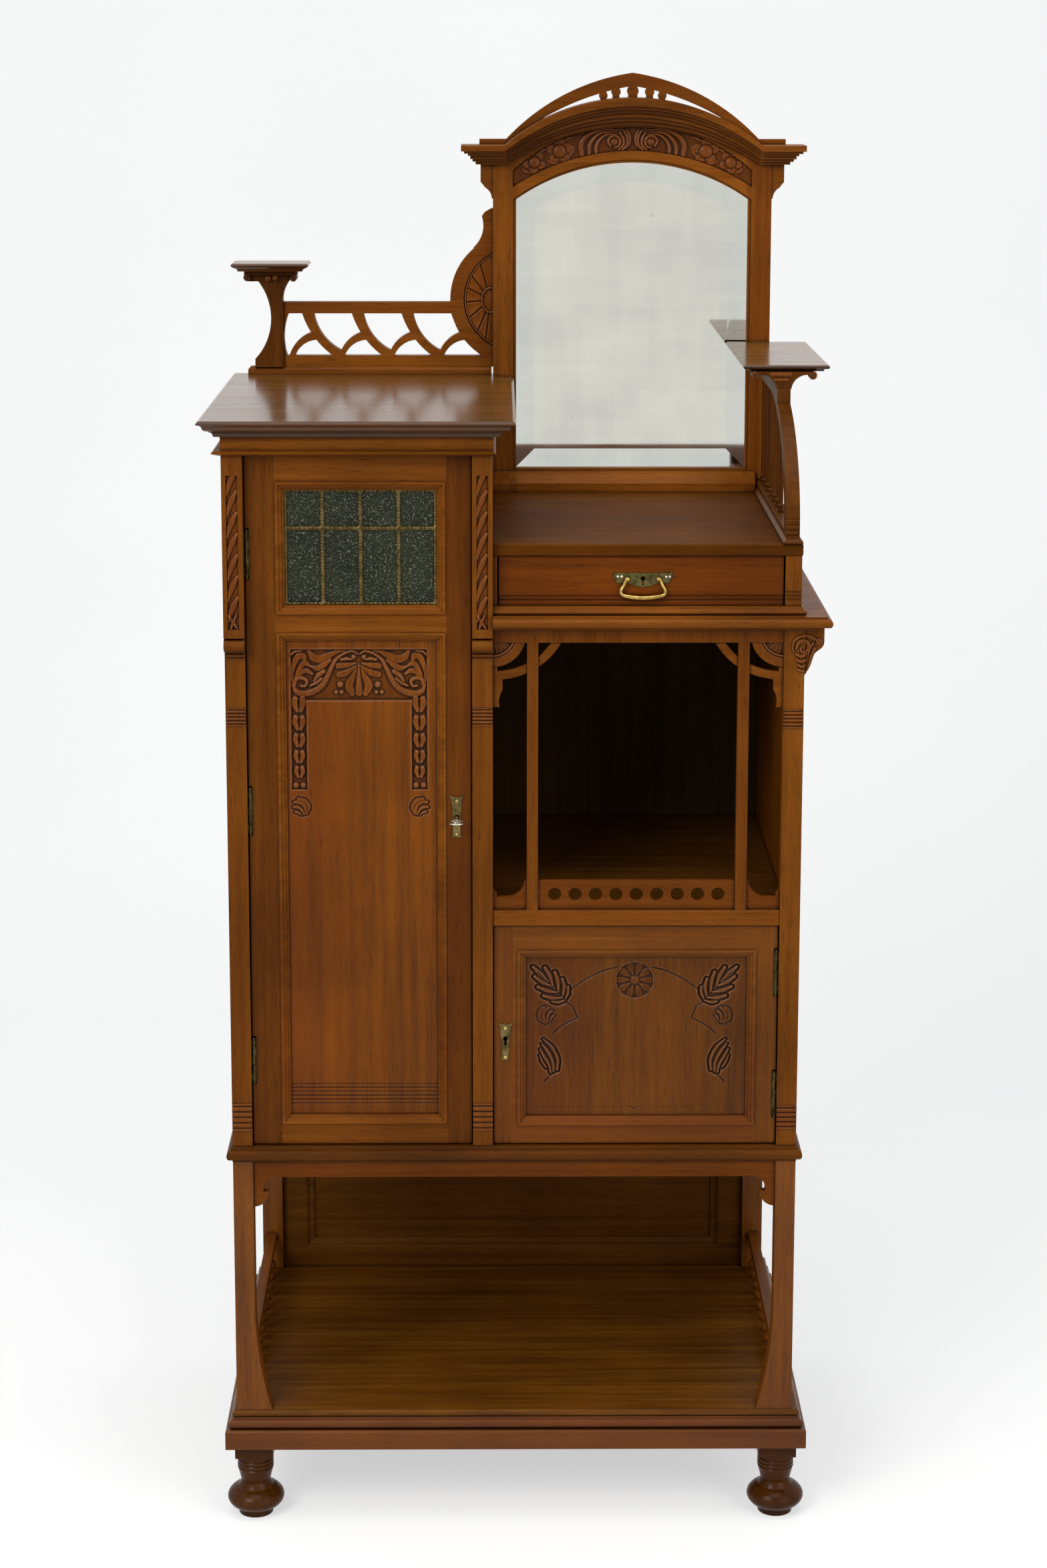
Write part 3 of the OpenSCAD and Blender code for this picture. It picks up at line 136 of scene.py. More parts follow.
def plankColour(tree, at, moved, look):
    # the sweeping figure of the growth rings, and the fibres over it
    slow = addNode(
        tree,
        "TexNoise",
        {"Scale": 250 / look["ring"], "Detail": 2.0, "Roughness": 0.5, "Distortion": 0.6},
        {"Vector": moved},
    )
    steps = addNode(tree, "Math", {"operation": "MULTIPLY", 1: 7.0}, {0: slow})
    rings = addNode(tree, "Math", {"operation": "PINGPONG", 1: 0.5}, {0: steps})
    fibre = addNode(
        tree,
        "TexNoise",
        {"Scale": 1000 / look["fibre"], "Detail": 2.0, "Roughness": 0.6},
        {"Vector": moved},
    )
    streak = addNode(
        tree,
        "TexNoise",
        {"Scale": 1000 / (look["fibre"] * 7), "Detail": 3.0, "Roughness": 0.55},
        {"Vector": moved},
    )
    figure = addNode(
        tree,
        "Math",
        {"operation": "MULTIPLY_ADD", 1: look["figure"] * 2, 2: -look["figure"] * 0.5},
        {0: rings},
    )
    mixed = addNode(tree, "Math", {"operation": "MULTIPLY_ADD", 1: 0.7}, {0: streak, 2: figure})
    mixed = addNode(tree, "Math", {"operation": "MULTIPLY_ADD", 1: 0.3}, {0: fibre, 2: mixed})
    dark, light = 0.5 - look["spread"], 0.5 + look["spread"] * 1.2
    stops = [(dark, tone(look["deep"])), (0.5, tone(look["mid"])), (light, tone(look["pale"]))]
    wood = addNode(tree, "ValToRGB", {"stops": stops}, {0: mixed})

    # open pores, short dark strokes along the grain; a few pale nicks; broad ruddy stains
    pores = addNode(tree, "TexNoise", {"Scale": 1000 / look["poreWidth"], "Detail": 1.0}, {"Vector": moved})
    poreMask = addNode(tree, "MapRange", {1: 0.6, 2: 0.72, 3: 0.0, 4: 0.6}, {0: pores})
    colour = addNode(tree, "Mix", {"data_type": "RGBA", 7: tone(look["pore"])}, {0: poreMask, 6: wood})
    nicks = addNode(tree, "TexNoise", {"Scale": 190.0, "Detail": 3.0, "Roughness": 0.7}, {"Vector": at})
    nickMask = addNode(tree, "MapRange", {1: 0.735, 2: 0.77, 3: 0.0, 4: 0.5}, {0: nicks})
    colour = addNode(
        tree, "Mix", {"data_type": "RGBA", 7: tone(look["worn"])}, {0: nickMask, 6: colour.outputs[2]}
    )
    stain = addNode(tree, "TexNoise", {"Scale": 3.4, "Detail": 3.0, "Roughness": 0.6}, {"Vector": moved})
    ruddy = addNode(tree, "MapRange", {1: 0.46, 2: 0.66, 3: 0.0, 4: look["blush"]}, {0: stain})
    colour = addNode(
        tree, "Mix", {"data_type": "RGBA", 7: tone(look["ruddy"])}, {0: ruddy, 6: colour.outputs[2]}
    )
    return {"colour": colour.outputs[2], "fibre": fibre, "streak": streak, "pores": poreMask}


def wearDirtAndPaintedLight(tree, colour, patch, look):
    # edges paler, for rubbed wear and as painted highlight; corners darker, for dirt and as painted shade
    soft = addNode(tree, "Bevel", {"samples": 4, "Radius": look["edge"] * mm})
    true = addNode(tree, "NewGeometry").outputs["Normal"]
    same = addNode(tree, "VectorMath", {"operation": "DOT_PRODUCT"}, {0: soft, 1: true})
    turned = addNode(tree, "MapRange", {1: 0.995, 2: 0.86, 3: 0.0, 4: 1.0}, {0: same.outputs["Value"]})
    hollow = addNode(tree, "AmbientOcclusion", {"samples": 6, "Distance": look["hollow"] * mm})
    free = addNode(tree, "MapRange", {1: 0.45, 2: 0.9, 3: 0.0, 4: 1.0}, {0: hollow.outputs["AO"]})
    rubbed = addNode(tree, "MapRange", {1: 0.35, 2: 0.7, 3: 0.15, 4: 0.7}, {0: patch})
    # the paler edges: rubbed wear, and a painted highlight along the edge
    wearAndHighlight = addNode(tree, "Math", {"operation": "MULTIPLY"}, {0: turned, 1: rubbed})
    wearAndHighlight = addNode(tree, "Math", {"operation": "MULTIPLY"}, {0: wearAndHighlight, 1: free})
    colour = addNode(tree, "Mix", {"data_type": "RGBA", 7: tone(look["worn"])}, {0: wearAndHighlight, 6: colour})
    # the darker corners, by how closed they are: dirt, and painted shade
    starts, thickest = look["pocket"]
    dirt = addNode(tree, "MapRange", {1: starts, 2: thickest, 3: 0.0, 4: 0.92}, {0: hollow.outputs["AO"]})
    colour = addNode(
        tree, "Mix", {"data_type": "RGBA", 7: tone(look["grimeAndShade"])}, {0: dirt, 6: colour.outputs[2]}
    )
    return colour.outputs[2], soft


def carvingDirtAndPaintedLight(tree, colour, coat, look):
    # the carving's own hollows and crests, worked out with its heights: dirt and painted shade below,
    # wear, painted highlight and polish above
    relief = addNode(tree, "Attribute", {"attribute_name": "hollow"}).outputs["Fac"]
    # sunk parts darker for dirt and painted shade, proud parts paler for wear and painted highlight
    sunk = addNode(tree, "MapRange", {1: 0.12, 2: 0.9, 3: 0.0, 4: 0.82}, {0: relief})
    proudWearAndHighlight = addNode(tree, "MapRange", {1: -0.15, 2: -0.9, 3: 0.0, 4: 0.4}, {0: relief})
    polish = addNode(tree, "MapRange", {1: 0.05, 2: -0.8, 3: coat * 0.4, 4: 0.4}, {0: relief})
    colour = addNode(tree, "Mix", {"data_type": "RGBA", 7: tone(look["grimeAndShade"])}, {0: sunk, 6: colour})
    colour = addNode(
        tree, "Mix", {"data_type": "RGBA", 7: tone(look["worn"])}, {0: proudWearAndHighlight, 6: colour.outputs[2]}
    )
    return colour.outputs[2], polish


def walnutFinish(name, grain, light=1.0, gloss=0.36, coat=0.02, rails=None, look=None, carved=False):
    # French-polished walnut, shellac rubbed in by hand: a warm orange brown with a soft, even sheen,
    # paler along edges for wear and painted highlight, dark in corners for polish, dust and painted shade
    look = {**woodLook, **(look or {})}
    material, tree, shader = newMaterial(name)
    at = addNode(tree, "TexCoord").outputs["Object"]
    moved, inside = drawGrain(tree, at, grain, rails, look)
    plank = plankColour(tree, at, moved, look)
    patch = addNode(tree, "TexNoise", {"Scale": 6.0, "Detail": 2.0}, {"Vector": at})
    cloud = addNode(tree, "MapRange", {1: 0.3, 2: 0.7, 3: 0.8 * light, 4: 1.2 * light}, {0: patch})
    if rails:
        lit = addNode(
            tree, "Math", {"operation": "MULTIPLY_ADD", 1: look["railLight"] - 1, 2: 1.0}, {0: inside}
        )
        cloud = addNode(tree, "Math", {"operation": "MULTIPLY"}, {0: lit, 1: cloud})
    colour = addNode(tree, "VectorMath", {"operation": "SCALE"}, {0: plank["colour"], "Scale": cloud})
    colour, soft = wearDirtAndPaintedLight(tree, colour, patch, look)
    shader.inputs["Coat Weight"].default_value = coat
    if carved:
        colour, polish = carvingDirtAndPaintedLight(tree, colour, coat, look)
        tree.links.new(polish.outputs[0], shader.inputs["Coat Weight"])
    tree.links.new(colour, shader.inputs["Base Color"])

    smear = addNode(
        tree, "MapRange", {1: 0.3, 2: 0.75, 3: gloss - 0.06, 4: gloss + 0.12}, {0: plank["streak"]}
    )
    tree.links.new(smear.outputs[0], shader.inputs["Roughness"])
    rough = addNode(
        tree, "Math", {"operation": "MULTIPLY_ADD", 1: -0.5}, {0: plank["pores"], 2: plank["fibre"]}
    )
    bump = addNode(tree, "Bump", {"Strength": 0.3, "Distance": 0.1 * mm}, {"Height": rough, "Normal": soft})
    tree.links.new(bump.outputs[0], shader.inputs["Normal"])
    shader.inputs["IOR"].default_value = 1.5
    shader.inputs["Specular IOR Level"].default_value = look["shine"]
    shader.inputs["Sheen Weight"].default_value = look["haze"]
    shader.inputs["Sheen Roughness"].default_value = 0.35
    shader.inputs["Sheen Tint"].default_value = tone(look["dust"])
    shader.inputs["Coat Roughness"].default_value = 0.14
    return material


def rawTimber(name, grain, pale, dark):
    # Planed softwood left without polish: dry and matt, with darker summer growth and fine tear-out
    material, tree, shader = newMaterial(name)
    at = addNode(tree, "TexCoord").outputs["Object"]
    along = {"x": (0.04, 1, 1), "y": (1, 0.04, 1), "z": (1, 1, 0.04)}
    run = addNode(tree, "Mapping", {"Scale": along[grain]}, {"Vector": at})
    slow = addNode(tree, "TexNoise", {"Scale": 1000 / 34, "Detail": 2.0, "Distortion": 0.3}, {"Vector": run})
    steps = addNode(tree, "Math", {"operation": "MULTIPLY", 1: 8.0}, {0: slow})
    rings = addNode(tree, "Math", {"operation": "PINGPONG", 1: 0.5}, {0: steps})
    fine = addNode(tree, "TexNoise", {"Scale": 1000 / 1.6, "Detail": 2.0}, {"Vector": run})
    both = addNode(tree, "Math", {"operation": "MULTIPLY_ADD", 1: 0.6}, {0: fine, 2: rings})
    wood = addNode(tree, "ValToRGB", {"stops": [(0.2, tone(pale)), (0.85, tone(dark))]}, {0: both})
    tree.links.new(wood.outputs[0], shader.inputs["Base Color"])
    dry = addNode(tree, "MapRange", {3: 0.62, 4: 0.85}, {0: fine})
    tree.links.new(dry.outputs[0], shader.inputs["Roughness"])
    bump = addNode(tree, "Bump", {"Strength": 0.4, "Distance": 0.2 * mm}, {"Height": both})
    tree.links.new(bump.outputs[0], shader.inputs["Normal"])
    return material


def metalFinish(name, bright, dull, stain, roughness, grit=0.6):
    # Cast metal worn smooth: bright and dull in broad patches, brown in the hollows, faint scratches
    material, tree, shader = newMaterial(name)
    at = addNode(tree, "TexCoord").outputs["Object"]
    cloud = addNode(tree, "TexNoise", {"Scale": 1000 / 9, "Detail": 4.0, "Roughness": 0.65}, {"Vector": at})
    fine = addNode(tree, "TexNoise", {"Scale": 1000 / grit, "Detail": 2.0}, {"Vector": at})
    base = addNode(tree, "ValToRGB", {"stops": [(0.38, tone(dull)), (0.62, tone(bright))]}, {0: cloud})
    hollow = addNode(tree, "AmbientOcclusion", {"samples": 6, "Distance": 0.004})
    dirt = addNode(tree, "MapRange", {1: 0.85, 2: 0.35, 3: 0.0, 4: 0.9}, {0: hollow.outputs["AO"]})
    colour = addNode(tree, "Mix", {"data_type": "RGBA", 7: tone(stain)}, {0: dirt, 6: base})
    soft = addNode(tree, "Bevel", {"samples": 4, "Radius": 0.35 * mm})
    tree.links.new(colour.outputs[2], shader.inputs["Base Color"])
    worn = addNode(tree, "MapRange", {1: 0.3, 2: 0.7, 3: roughness - 0.07, 4: roughness + 0.13}, {0: cloud})
    tree.links.new(worn.outputs[0], shader.inputs["Roughness"])
    bump = addNode(tree, "Bump", {"Strength": 0.3, "Distance": 0.05 * mm}, {"Height": fine, "Normal": soft})
    tree.links.new(bump.outputs[0], shader.inputs["Normal"])
    shader.inputs["Metallic"].default_value = 1.0
    return material


def silveredPlate(name, dim, bright):
    # Old silvered plate glass: a warm pale reflection, a little cloudy, with a few foxed specks
    material, tree, shader = newMaterial(name)
    at = addNode(tree, "TexCoord").outputs["Object"]
    cloud = addNode(tree, "TexNoise", {"Scale": 9.0, "Detail": 3.0}, {"Vector": at})
    wipe = addNode(tree, "Mapping", {"Scale": (0.12, 1.0, 1.0)}, {"Vector": at})
    streaks = addNode(tree, "TexNoise", {"Scale": 60.0, "Detail": 4.0, "Roughness": 0.65}, {"Vector": wipe})
    drip = addNode(tree, "Mapping", {"Scale": (1.0, 1.0, 0.1)}, {"Vector": at})
    runs = addNode(tree, "TexNoise", {"Scale": 45.0, "Detail": 4.0, "Roughness": 0.65}, {"Vector": drip})
    cross = addNode(tree, "Math", {"operation": "ADD"}, {0: streaks, 1: runs})
    both = addNode(tree, "Math", {"operation": "MULTIPLY_ADD", 1: 0.45}, {0: cross, 2: cloud})
    spread = addNode(tree, "Math", {"operation": "MULTIPLY", 1: 0.53}, {0: both})
    fox = addNode(tree, "TexVoronoi", {"Scale": 1000 / 60}, {"Vector": at})
    specks = addNode(tree, "MapRange", {1: 0.03, 2: 0.05, 3: 0.22, 4: 0.0}, {0: fox.outputs["Distance"]})
    silver = addNode(tree, "ValToRGB", {"stops": [(0.38, tone(dim)), (0.62, tone(bright))]}, {0: spread})
    colour = addNode(tree, "Mix", {"data_type": "RGBA", 7: tone("#8a8574")}, {0: specks, 6: silver})
    tree.links.new(colour.outputs[2], shader.inputs["Base Color"])
    haze = addNode(tree, "MapRange", {1: 0.35, 2: 0.75, 3: 0.02, 4: 0.055}, {0: streaks})
    tree.links.new(haze.outputs[0], shader.inputs["Roughness"])
    shader.inputs["Metallic"].default_value = 1.0
    return material


def hammeredGlass(name):
    # Rolled glass with a hammered face: dark olive green; glints at its dimples are partly reflection
    # off the bumped face and partly painted highlights in its colour
    material, tree, shader = newMaterial(name)
    at = addNode(tree, "TexCoord").outputs["Object"]
    worms = addNode(tree, "TexNoise", {"Scale": 1000 / 2.2, "Detail": 1.0, "Distortion": 1.0}, {"Vector": at})
    cloud = addNode(tree, "TexNoise", {"Scale": 16.0, "Detail": 2.0}, {"Vector": at})
    body = addNode(
        tree, "ValToRGB", {"stops": [(0.35, tone("#141a0c")), (0.65, tone("#232b16"))]}, {0: cloud}
    )
    # painted glints: pale spots on the dimples' tops, standing in for light caught there
    paintedGlints = addNode(tree, "MapRange", {1: 0.57, 2: 0.74, 3: 0.0, 4: 0.62}, {0: worms})
    colour = addNode(tree, "Mix", {"data_type": "RGBA", 7: tone("#a3a186")}, {0: paintedGlints, 6: body})
    tree.links.new(colour.outputs[2], shader.inputs["Base Color"])
    bump = addNode(tree, "Bump", {"Strength": 0.9, "Distance": 1.2 * mm}, {"Height": worms})
    tree.links.new(bump.outputs[0], shader.inputs["Normal"])
    shader.inputs["Roughness"].default_value = 0.16
    shader.inputs["Transmission Weight"].default_value = 0.08
    shader.inputs["IOR"].default_value = 1.52
    shader.inputs["Specular IOR Level"].default_value = 0.12
    return material


print("mixing the finishes")
uprightWalnut = walnutFinish("french polished walnut, upright grain", "z")
acrossWalnut = walnutFinish("french polished walnut, grain across", "x")
deepWalnut = walnutFinish("french polished walnut, grain front to back", "y")
glossyTop = walnutFinish(
    "french polished walnut, bright cap top",
    "x",
    light=0.4,
    gloss=0.26,
    coat=0.58,
    look={"figure": 0.5, "spread": 0.3, "haze": 0.16},
)
unitTop = walnutFinish(
    "french polished walnut, drawer unit top", "x", light=0.52, gloss=0.5, coat=0.0, look={"shine": 0.03}
)
# a darker copy of the walnut for the feet
turnedWalnut = walnutFinish("turned walnut, darker", "z", light=0.42, gloss=0.3, coat=0.12)
shelfWalnut = walnutFinish(
    "french polished walnut, figured shelf",
    "x",
    light=1.02,
    gloss=0.38,
    coat=0.03,
    look={
        "blush": 0.0,
        "figure": 0.16,
        "ring": 26.0,
        "fibre": 0.9,
        "spread": 0.36,
        "shine": 0.12,
        "pale": "#8e5c1a",
        "mid": "#6c400d",
        "deep": "#3a1f08",
    },
)
tallDoorWalnut = walnutFinish(
    "french polished walnut, tall door frame", "z", light=0.8, look={"railLight": 1.45}, rails=(180.5, 104)
)
lowDoorWalnut = walnutFinish(
    "french polished walnut, low door frame", "z", light=0.92, look={"shine": 0.12}, rails=(518, 152)
)
mirrorWalnut = walnutFinish("french polished walnut, mirror frame", "z", light=1.1, rails=(526.75, 152))
nicheWalnut = walnutFinish(
    "french polished walnut, niche floor",
    "x",
    light=0.75,
    gloss=0.42,
    look={"blush": 0.0, "shine": 0.14, "pale": "#8a5a1e", "mid": "#6a4212", "deep": "#42290c"},
)
lowWalnut = walnutFinish(
    "french polished walnut, haze of the floor on it", "x", light=0.92, look={"shine": 0.22}
)
legWalnut = walnutFinish("french polished walnut, legs", "z", light=1.05, look={"shine": 0.2})
waistWalnut = walnutFinish("french polished walnut, waist", "x", light=0.62, look={"blush": 0.0})
frontWalnut = walnutFinish(
    "french polished walnut, drawer front",
    "x",
    light=0.86,
    look={"blush": 0.15, "pale": "#8f4e10", "mid": "#743a08"},
)
paleWalnut = walnutFinish("french polished walnut, paler boards", "x", light=1.16)
# a darker copy of the walnut: painted shade on the console and the arm
shadedWalnut = walnutFinish(
    "french polished walnut, darker as painted shade", "z", light=0.52, gloss=0.38, coat=0.0
)
innerWalnut = walnutFinish(
    "oiled walnut, back of the open shelf",
    "x",
    light=0.78,
    gloss=0.45,
    coat=0.0,
    look={"pale": "#8a5a1c", "mid": "#6d4310", "deep": "#45290b"},
)
dullWalnut = walnutFinish("oiled walnut, inside faces", "x", light=0.5, gloss=0.55, coat=0.0)
backTimber = walnutFinish(
    "stained back boards",
    "z",
    light=0.5,
    gloss=0.6,
    coat=0.0,
    look={"blush": 0.0, "pale": "#7a5a24", "mid": "#5c4015", "deep": "#3a270c"},
)
planedPine = rawTimber("planed pine", "y", "#c79f69", "#94683a")
cameBrass = metalFinish("dull lacquered brass came", "#665733", "#443a20", "#171208", 0.42)
# a darker brass for the hinges
hingeBrass = metalFinish("butt hinge brass, darker", "#574c2d", "#372d18", "#110d06", 0.4)
tonedBrass = metalFinish("toned brass, lacquer gone brown", "#7a6a42", "#4d4126", "#161008", 0.36)
plateBrass = metalFinish("sheet brass, gone olive", "#69603a", "#463e22", "#17120a", 0.38)
polishedBrass = metalFinish("polished brass, rubbed by hand", "#c4a860", "#93793f", "#2b2010", 0.22, 1.6)
screwMetal = metalFinish("nickel screw head", "#d9d3c2", "#a59f8e", "#2a241b", 0.22)
dullSteel = metalFinish("filed steel gone grey", "#9a948b", "#5e5851", "#1b1510", 0.34)
# carved walnut whose hollows are darkened for dirt and painted shade, and whose crests are paled for wear and
# painted highlight
carvedWalnut = walnutFinish(
    "carved walnut, dirt and painted shade in the hollows",
    "z",
    light=1.02,
    gloss=0.3,
    coat=0.06,
    look={"pale": "#95540f", "mid": "#78400b", "edge": 0.25, "shine": 0.08, "figure": 0.1},
    carved=True,
)
lowCarvedWalnut = walnutFinish(
    "carved walnut, darker board",
    "z",
    light=0.74,
    gloss=0.32,
    coat=0.06,
    look={"edge": 0.25, "shine": 0.1, "figure": 0.1},
    carved=True,
)
mirrorPlate = silveredPlate("silvered plate", "#cfcfc9", "#dfdfd3")
# the bevel's silver set a little darker and bluer than the plate's: a painted reflection for what the bevel
# shows
bevelSilver = silveredPlate("silvered plate, ground bevel, painted darker reflection", "#cacdc8", "#d8dad3")
greenGlass = hammeredGlass("hammered green glass")

nodeFinish = {
    "bun_feet": turnedWalnut,
    "plinth_board": lowWalnut,
    "base_moulding": lowWalnut,
    "bottom_shelf": shelfWalnut,
    "lower_legs": legWalnut,
    "lower_apron": acrossWalnut,
    "lower_back": innerWalnut,
    "side_galleries": deepWalnut,
    "waist_board": waistWalnut,
    "pilasters": uprightWalnut,
    "right_post": uprightWalnut,
    "rope_mouldings": uprightWalnut,
    "side_boards": uprightWalnut,
    "back_boards": backTimber,
    "tall_shelves": dullWalnut,
    "niche_floor": nicheWalnut,
    "niche_rail_bars": uprightWalnut,
    "niche_fans": acrossWalnut,
    "niche_arcs": acrossWalnut,
    "pierced_strip": acrossWalnut,
    "post_corbel": uprightWalnut,
    "mid_board": paleWalnut,
    "unit_moulding": acrossWalnut,
    "unit_sides": uprightWalnut,
    "unit_top": unitTop,
    "cap_frieze": paleWalnut,
    "cap_board": glossyTop,
    "gallery_base": acrossWalnut,
    "gallery_fret": acrossWalnut,
    "gallery_console": shadedWalnut,
    "gallery_shelf": glossyTop,
    "mirror_frame": mirrorWalnut,
    "mirror_glass": mirrorPlate,
    "mirror_backboard": dullWalnut,
    "mirror_cornice": acrossWalnut,
    "mirror_crest": acrossWalnut,
    "arm_frame": shadedWalnut,
    "arm_spindles": shadedWalnut,
    "arm_capital": shadedWalnut,
    "arm_shelf": glossyTop,
    "hinge_posts": hingeBrass,
    "tall_door_frame": tallDoorWalnut,
    "tall_door_panel": uprightWalnut,
    "leaded_glass": greenGlass,
    "glass_cames": cameBrass,
    "tall_hinge_leaves": hingeBrass,
    "tall_lock": dullSteel,
    "tall_escutcheon": tonedBrass,
    "lock_bolt": dullSteel,
    "key": screwMetal,
    "low_door_frame": lowDoorWalnut,
    "low_door_panel": lowCarvedWalnut,
    "low_hinge_leaves": hingeBrass,
    "low_lock": dullSteel,
    "low_escutcheon": tonedBrass,
    "drawer_front": frontWalnut,
    "drawer_box": planedPine,
    "drawer_plate": plateBrass,
    "drawer_bail": polishedBrass,
}
for name, finish in nodeFinish.items():
    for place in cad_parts[name].material_slots:
        place.material = finish


# carving, worked as heights in mm over a board's face
def alongCurve(points, widths, count=36):
    # a smooth curve through the points, with its half width all along
    knots = np.array(points, float)
    place = np.linspace(0, len(knots) - 1, count)
    i = np.clip(place.astype(int), 0, len(knots) - 2)
    f = (place - i)[:, None]
    knots = np.vstack([2 * knots[0] - knots[1], knots, 2 * knots[-1] - knots[-2]])
    a, b, c, d = knots[i], knots[i + 1], knots[i + 2], knots[i + 3]
    bend = 2 * a - 5 * b + 4 * c - d
    twist = 3 * b - 3 * c + d - a
    curve = 0.5 * (2 * b + (c - a) * f + bend * f**2 + twist * f**3)
    return curve, np.interp(place, np.linspace(0, len(points) - 1, len(widths)), widths)


def strokeOver(xs, zs, stroke, wider=0.0):
    # the part of the grid that a gouge stroke covers, and how deep inside the stroke each point is
    curve, half = alongCurve(stroke[0], stroke[1])
    half = half + wider
    reach = half.max() + 0.5
    cols = np.flatnonzero((xs > curve[:, 0].min() - reach) & (xs < curve[:, 0].max() + reach))
    rows = np.flatnonzero((zs > curve[:, 1].min() - reach) & (zs < curve[:, 1].max() + reach))
    if not len(cols) or not len(rows):
        return None, None
    part = (slice(rows[0], rows[-1] + 1), slice(cols[0], cols[-1] + 1))
    x, z = np.meshgrid(xs[part[1]], zs[part[0]])
    inside = np.full(x.shape, -9.0)
    for (cx, cz), w in zip(curve, half):
        inside = np.maximum(inside, (1 - np.hypot(x - cx, z - cz) / w) * (1 if w > 0 else 0))
    return part, inside


def placed(strokes, centre=(0, 0), mirrored=False, turn=0.0, size=1.0):
    # strokes drawn round the origin, turned, scaled, mirrored and moved to their centre
    side = -1 if mirrored else 1
    c, s = math.cos(math.radians(turn)), math.sin(math.radians(turn))
    moved = []
    for points, widths, *hollow in strokes:
        points = [
            (centre[0] + side * size * (x * c - z * s), centre[1] + size * (x * s + z * c)) for x, z in points
        ]
        moved.append((points, [w * size for w in widths], *hollow))
    return moved


def carve(height, xs, zs, strokes, depth=2.6, crown=2.7, margin=0.9, ground=True):
    # the ground round the strokes is cut down, and each stroke left standing, round or hollow
    floor = height.copy()
    if ground:
        for stroke in strokes:
            part, inside = strokeOver(xs, zs, stroke, margin)
            if part:
                floor[part] = np.minimum(floor[part], -depth * np.clip(inside * 9, 0, 1))
    level = np.minimum(floor, 0)
    shaped = floor.copy()
    for stroke in strokes:
        part, inside = strokeOver(xs, zs, stroke)
        if not part:
            continue
        f = np.clip(inside, 0, 1)
        scoop = stroke[2] if len(stroke) > 2 else 0.0
        rise = np.sqrt(1 - (1 - f) ** 2) * (1 - scoop * f**0.7)
        shaped[part] = np.where(f > 0, np.maximum(shaped[part], level[part] + crown * rise), shaped[part])
    height[:] = shaped


def engrave(height, xs, zs, points, half, depth):
    # a cut line of one width
    part, inside = strokeOver(xs, zs, (points, [half, half]))
    if part:
        height[part] = np.minimum(height[part], -depth * np.clip(inside * 1.3, 0, 1))


def sinkBox(height, xs, zs, x, z, depth):
    # an upright rectangle let in, with slightly sloping sides
    inX = np.clip(np.minimum(xs - x[0], x[1] - xs) / 0.5, 0, 1)
    inZ = np.clip(np.minimum(zs - z[0], z[1] - zs) / 0.5, 0, 1)
    height[:] = np.minimum(height, -depth * np.outer(inZ, inX))


def gridLine(parts):
    # (start, end, step) runs joined into one rising line
    line = np.concatenate([np.arange(a, b, step) for a, b, step in parts] + [[parts[-1][1]]])
    return np.unique(np.round(line, 3))


def addPiece(name, data, material, body, smooth=True):
    piece = bpy.data.objects.new(name, data)
    bpy.context.collection.objects.link(piece)
    data.materials.append(material)
    if smooth:
        data.polygons.foreach_set("use_smooth", [True] * len(data.polygons))
    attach(piece, body)
    return piece


def hollows(height):
    # how far each point lies below its neighbours' mean, mm
    weights = np.array([1, 2, 3, 4, 5, 4, 3, 2, 1]) / 25
    wide = np.pad(height, 4, mode="edge")
    rows, cols = height.shape
    across = sum(w * wide[:, k : k + cols] for k, w in enumerate(weights))
    mean = sum(w * across[k : k + rows] for k, w in enumerate(weights))
    return np.clip(mean - height + 0.06 * np.clip(-height, 0, 3), -1.5, 1.5)


def squares(inside):
    # the grid squares that have all four corners inside
    return inside[:-1, :-1] & inside[1:, :-1] & inside[:-1, 1:] & inside[1:, 1:]


def carvedBoard(name, xs, zs, height, face, back, material, body, keep=None, shade=0.0):
    # front face from the heights, plain back and edges; keep marks the grid squares that stay,
    # and shade is painted shade, added to the darkening that the finish gives the hollows
    rows, cols = height.shape
    x, z = np.meshgrid(xs, zs)
    front = np.stack([x, face - height, z], axis=-1).reshape(-1, 3)
    rear = np.stack([x, np.full_like(x, back), z], axis=-1).reshape(-1, 3)
    index = np.arange(rows * cols).reshape(rows, cols)
    quads = np.stack([index[:-1, :-1], index[:-1, 1:], index[1:, 1:], index[1:, :-1]], axis=-1)
    on = np.ones(quads.shape[:2], bool) if keep is None else keep
    faces = [quads[on]]
    total = rows * cols
    pad = np.pad(on, 1)
    for quad, turn, (dr, dc) in ((0, 1, (-1, 0)), (1, 2, (0, 1)), (2, 3, (1, 0)), (3, 0, (0, -1))):
        rim = on & ~pad[1 + dr : pad.shape[0] - 1 + dr, 1 + dc : pad.shape[1] - 1 + dc]
        a, b = quads[..., quad][rim], quads[..., turn][rim]
        faces.append(np.stack([b, a, a + total, b + total], axis=-1))
    if keep is None:
        corners = (index[0, 0], index[-1, 0], index[-1, -1], index[0, -1])
        backFace = [[corner + total for corner in corners]]
    else:
        faces.append(quads[on][:, ::-1] + total)
        backFace = []
    points = np.vstack([front, rear]) + np.array([plinth["left"], plinth["front"], 0])
    data = bpy.data.meshes.new(name)
    data.from_pydata((points * mm).tolist(), [], np.vstack(faces).tolist() + backFace)
    # the hollows' depth plus the painted shade, which the finish darkens for dirt and painted shade
    depth = np.concatenate([(hollows(height) + shade).ravel(), np.zeros(total)])
    data.attributes.new("hollow", "FLOAT", "POINT").data.foreach_set("value", depth.astype(np.float32))
    flat = np.zeros(len(data.polygons), bool)
    flat[: int(on.sum())] = True
    data.polygons.foreach_set("use_smooth", flat)
    work = bmesh.new()
    work.from_mesh(data)
    bmesh.ops.delete(work, geom=[v for v in work.verts if not v.link_faces], context="VERTS")
    work.to_mesh(data)
    work.free()
    return addPiece(name, data, material, body, smooth=False)


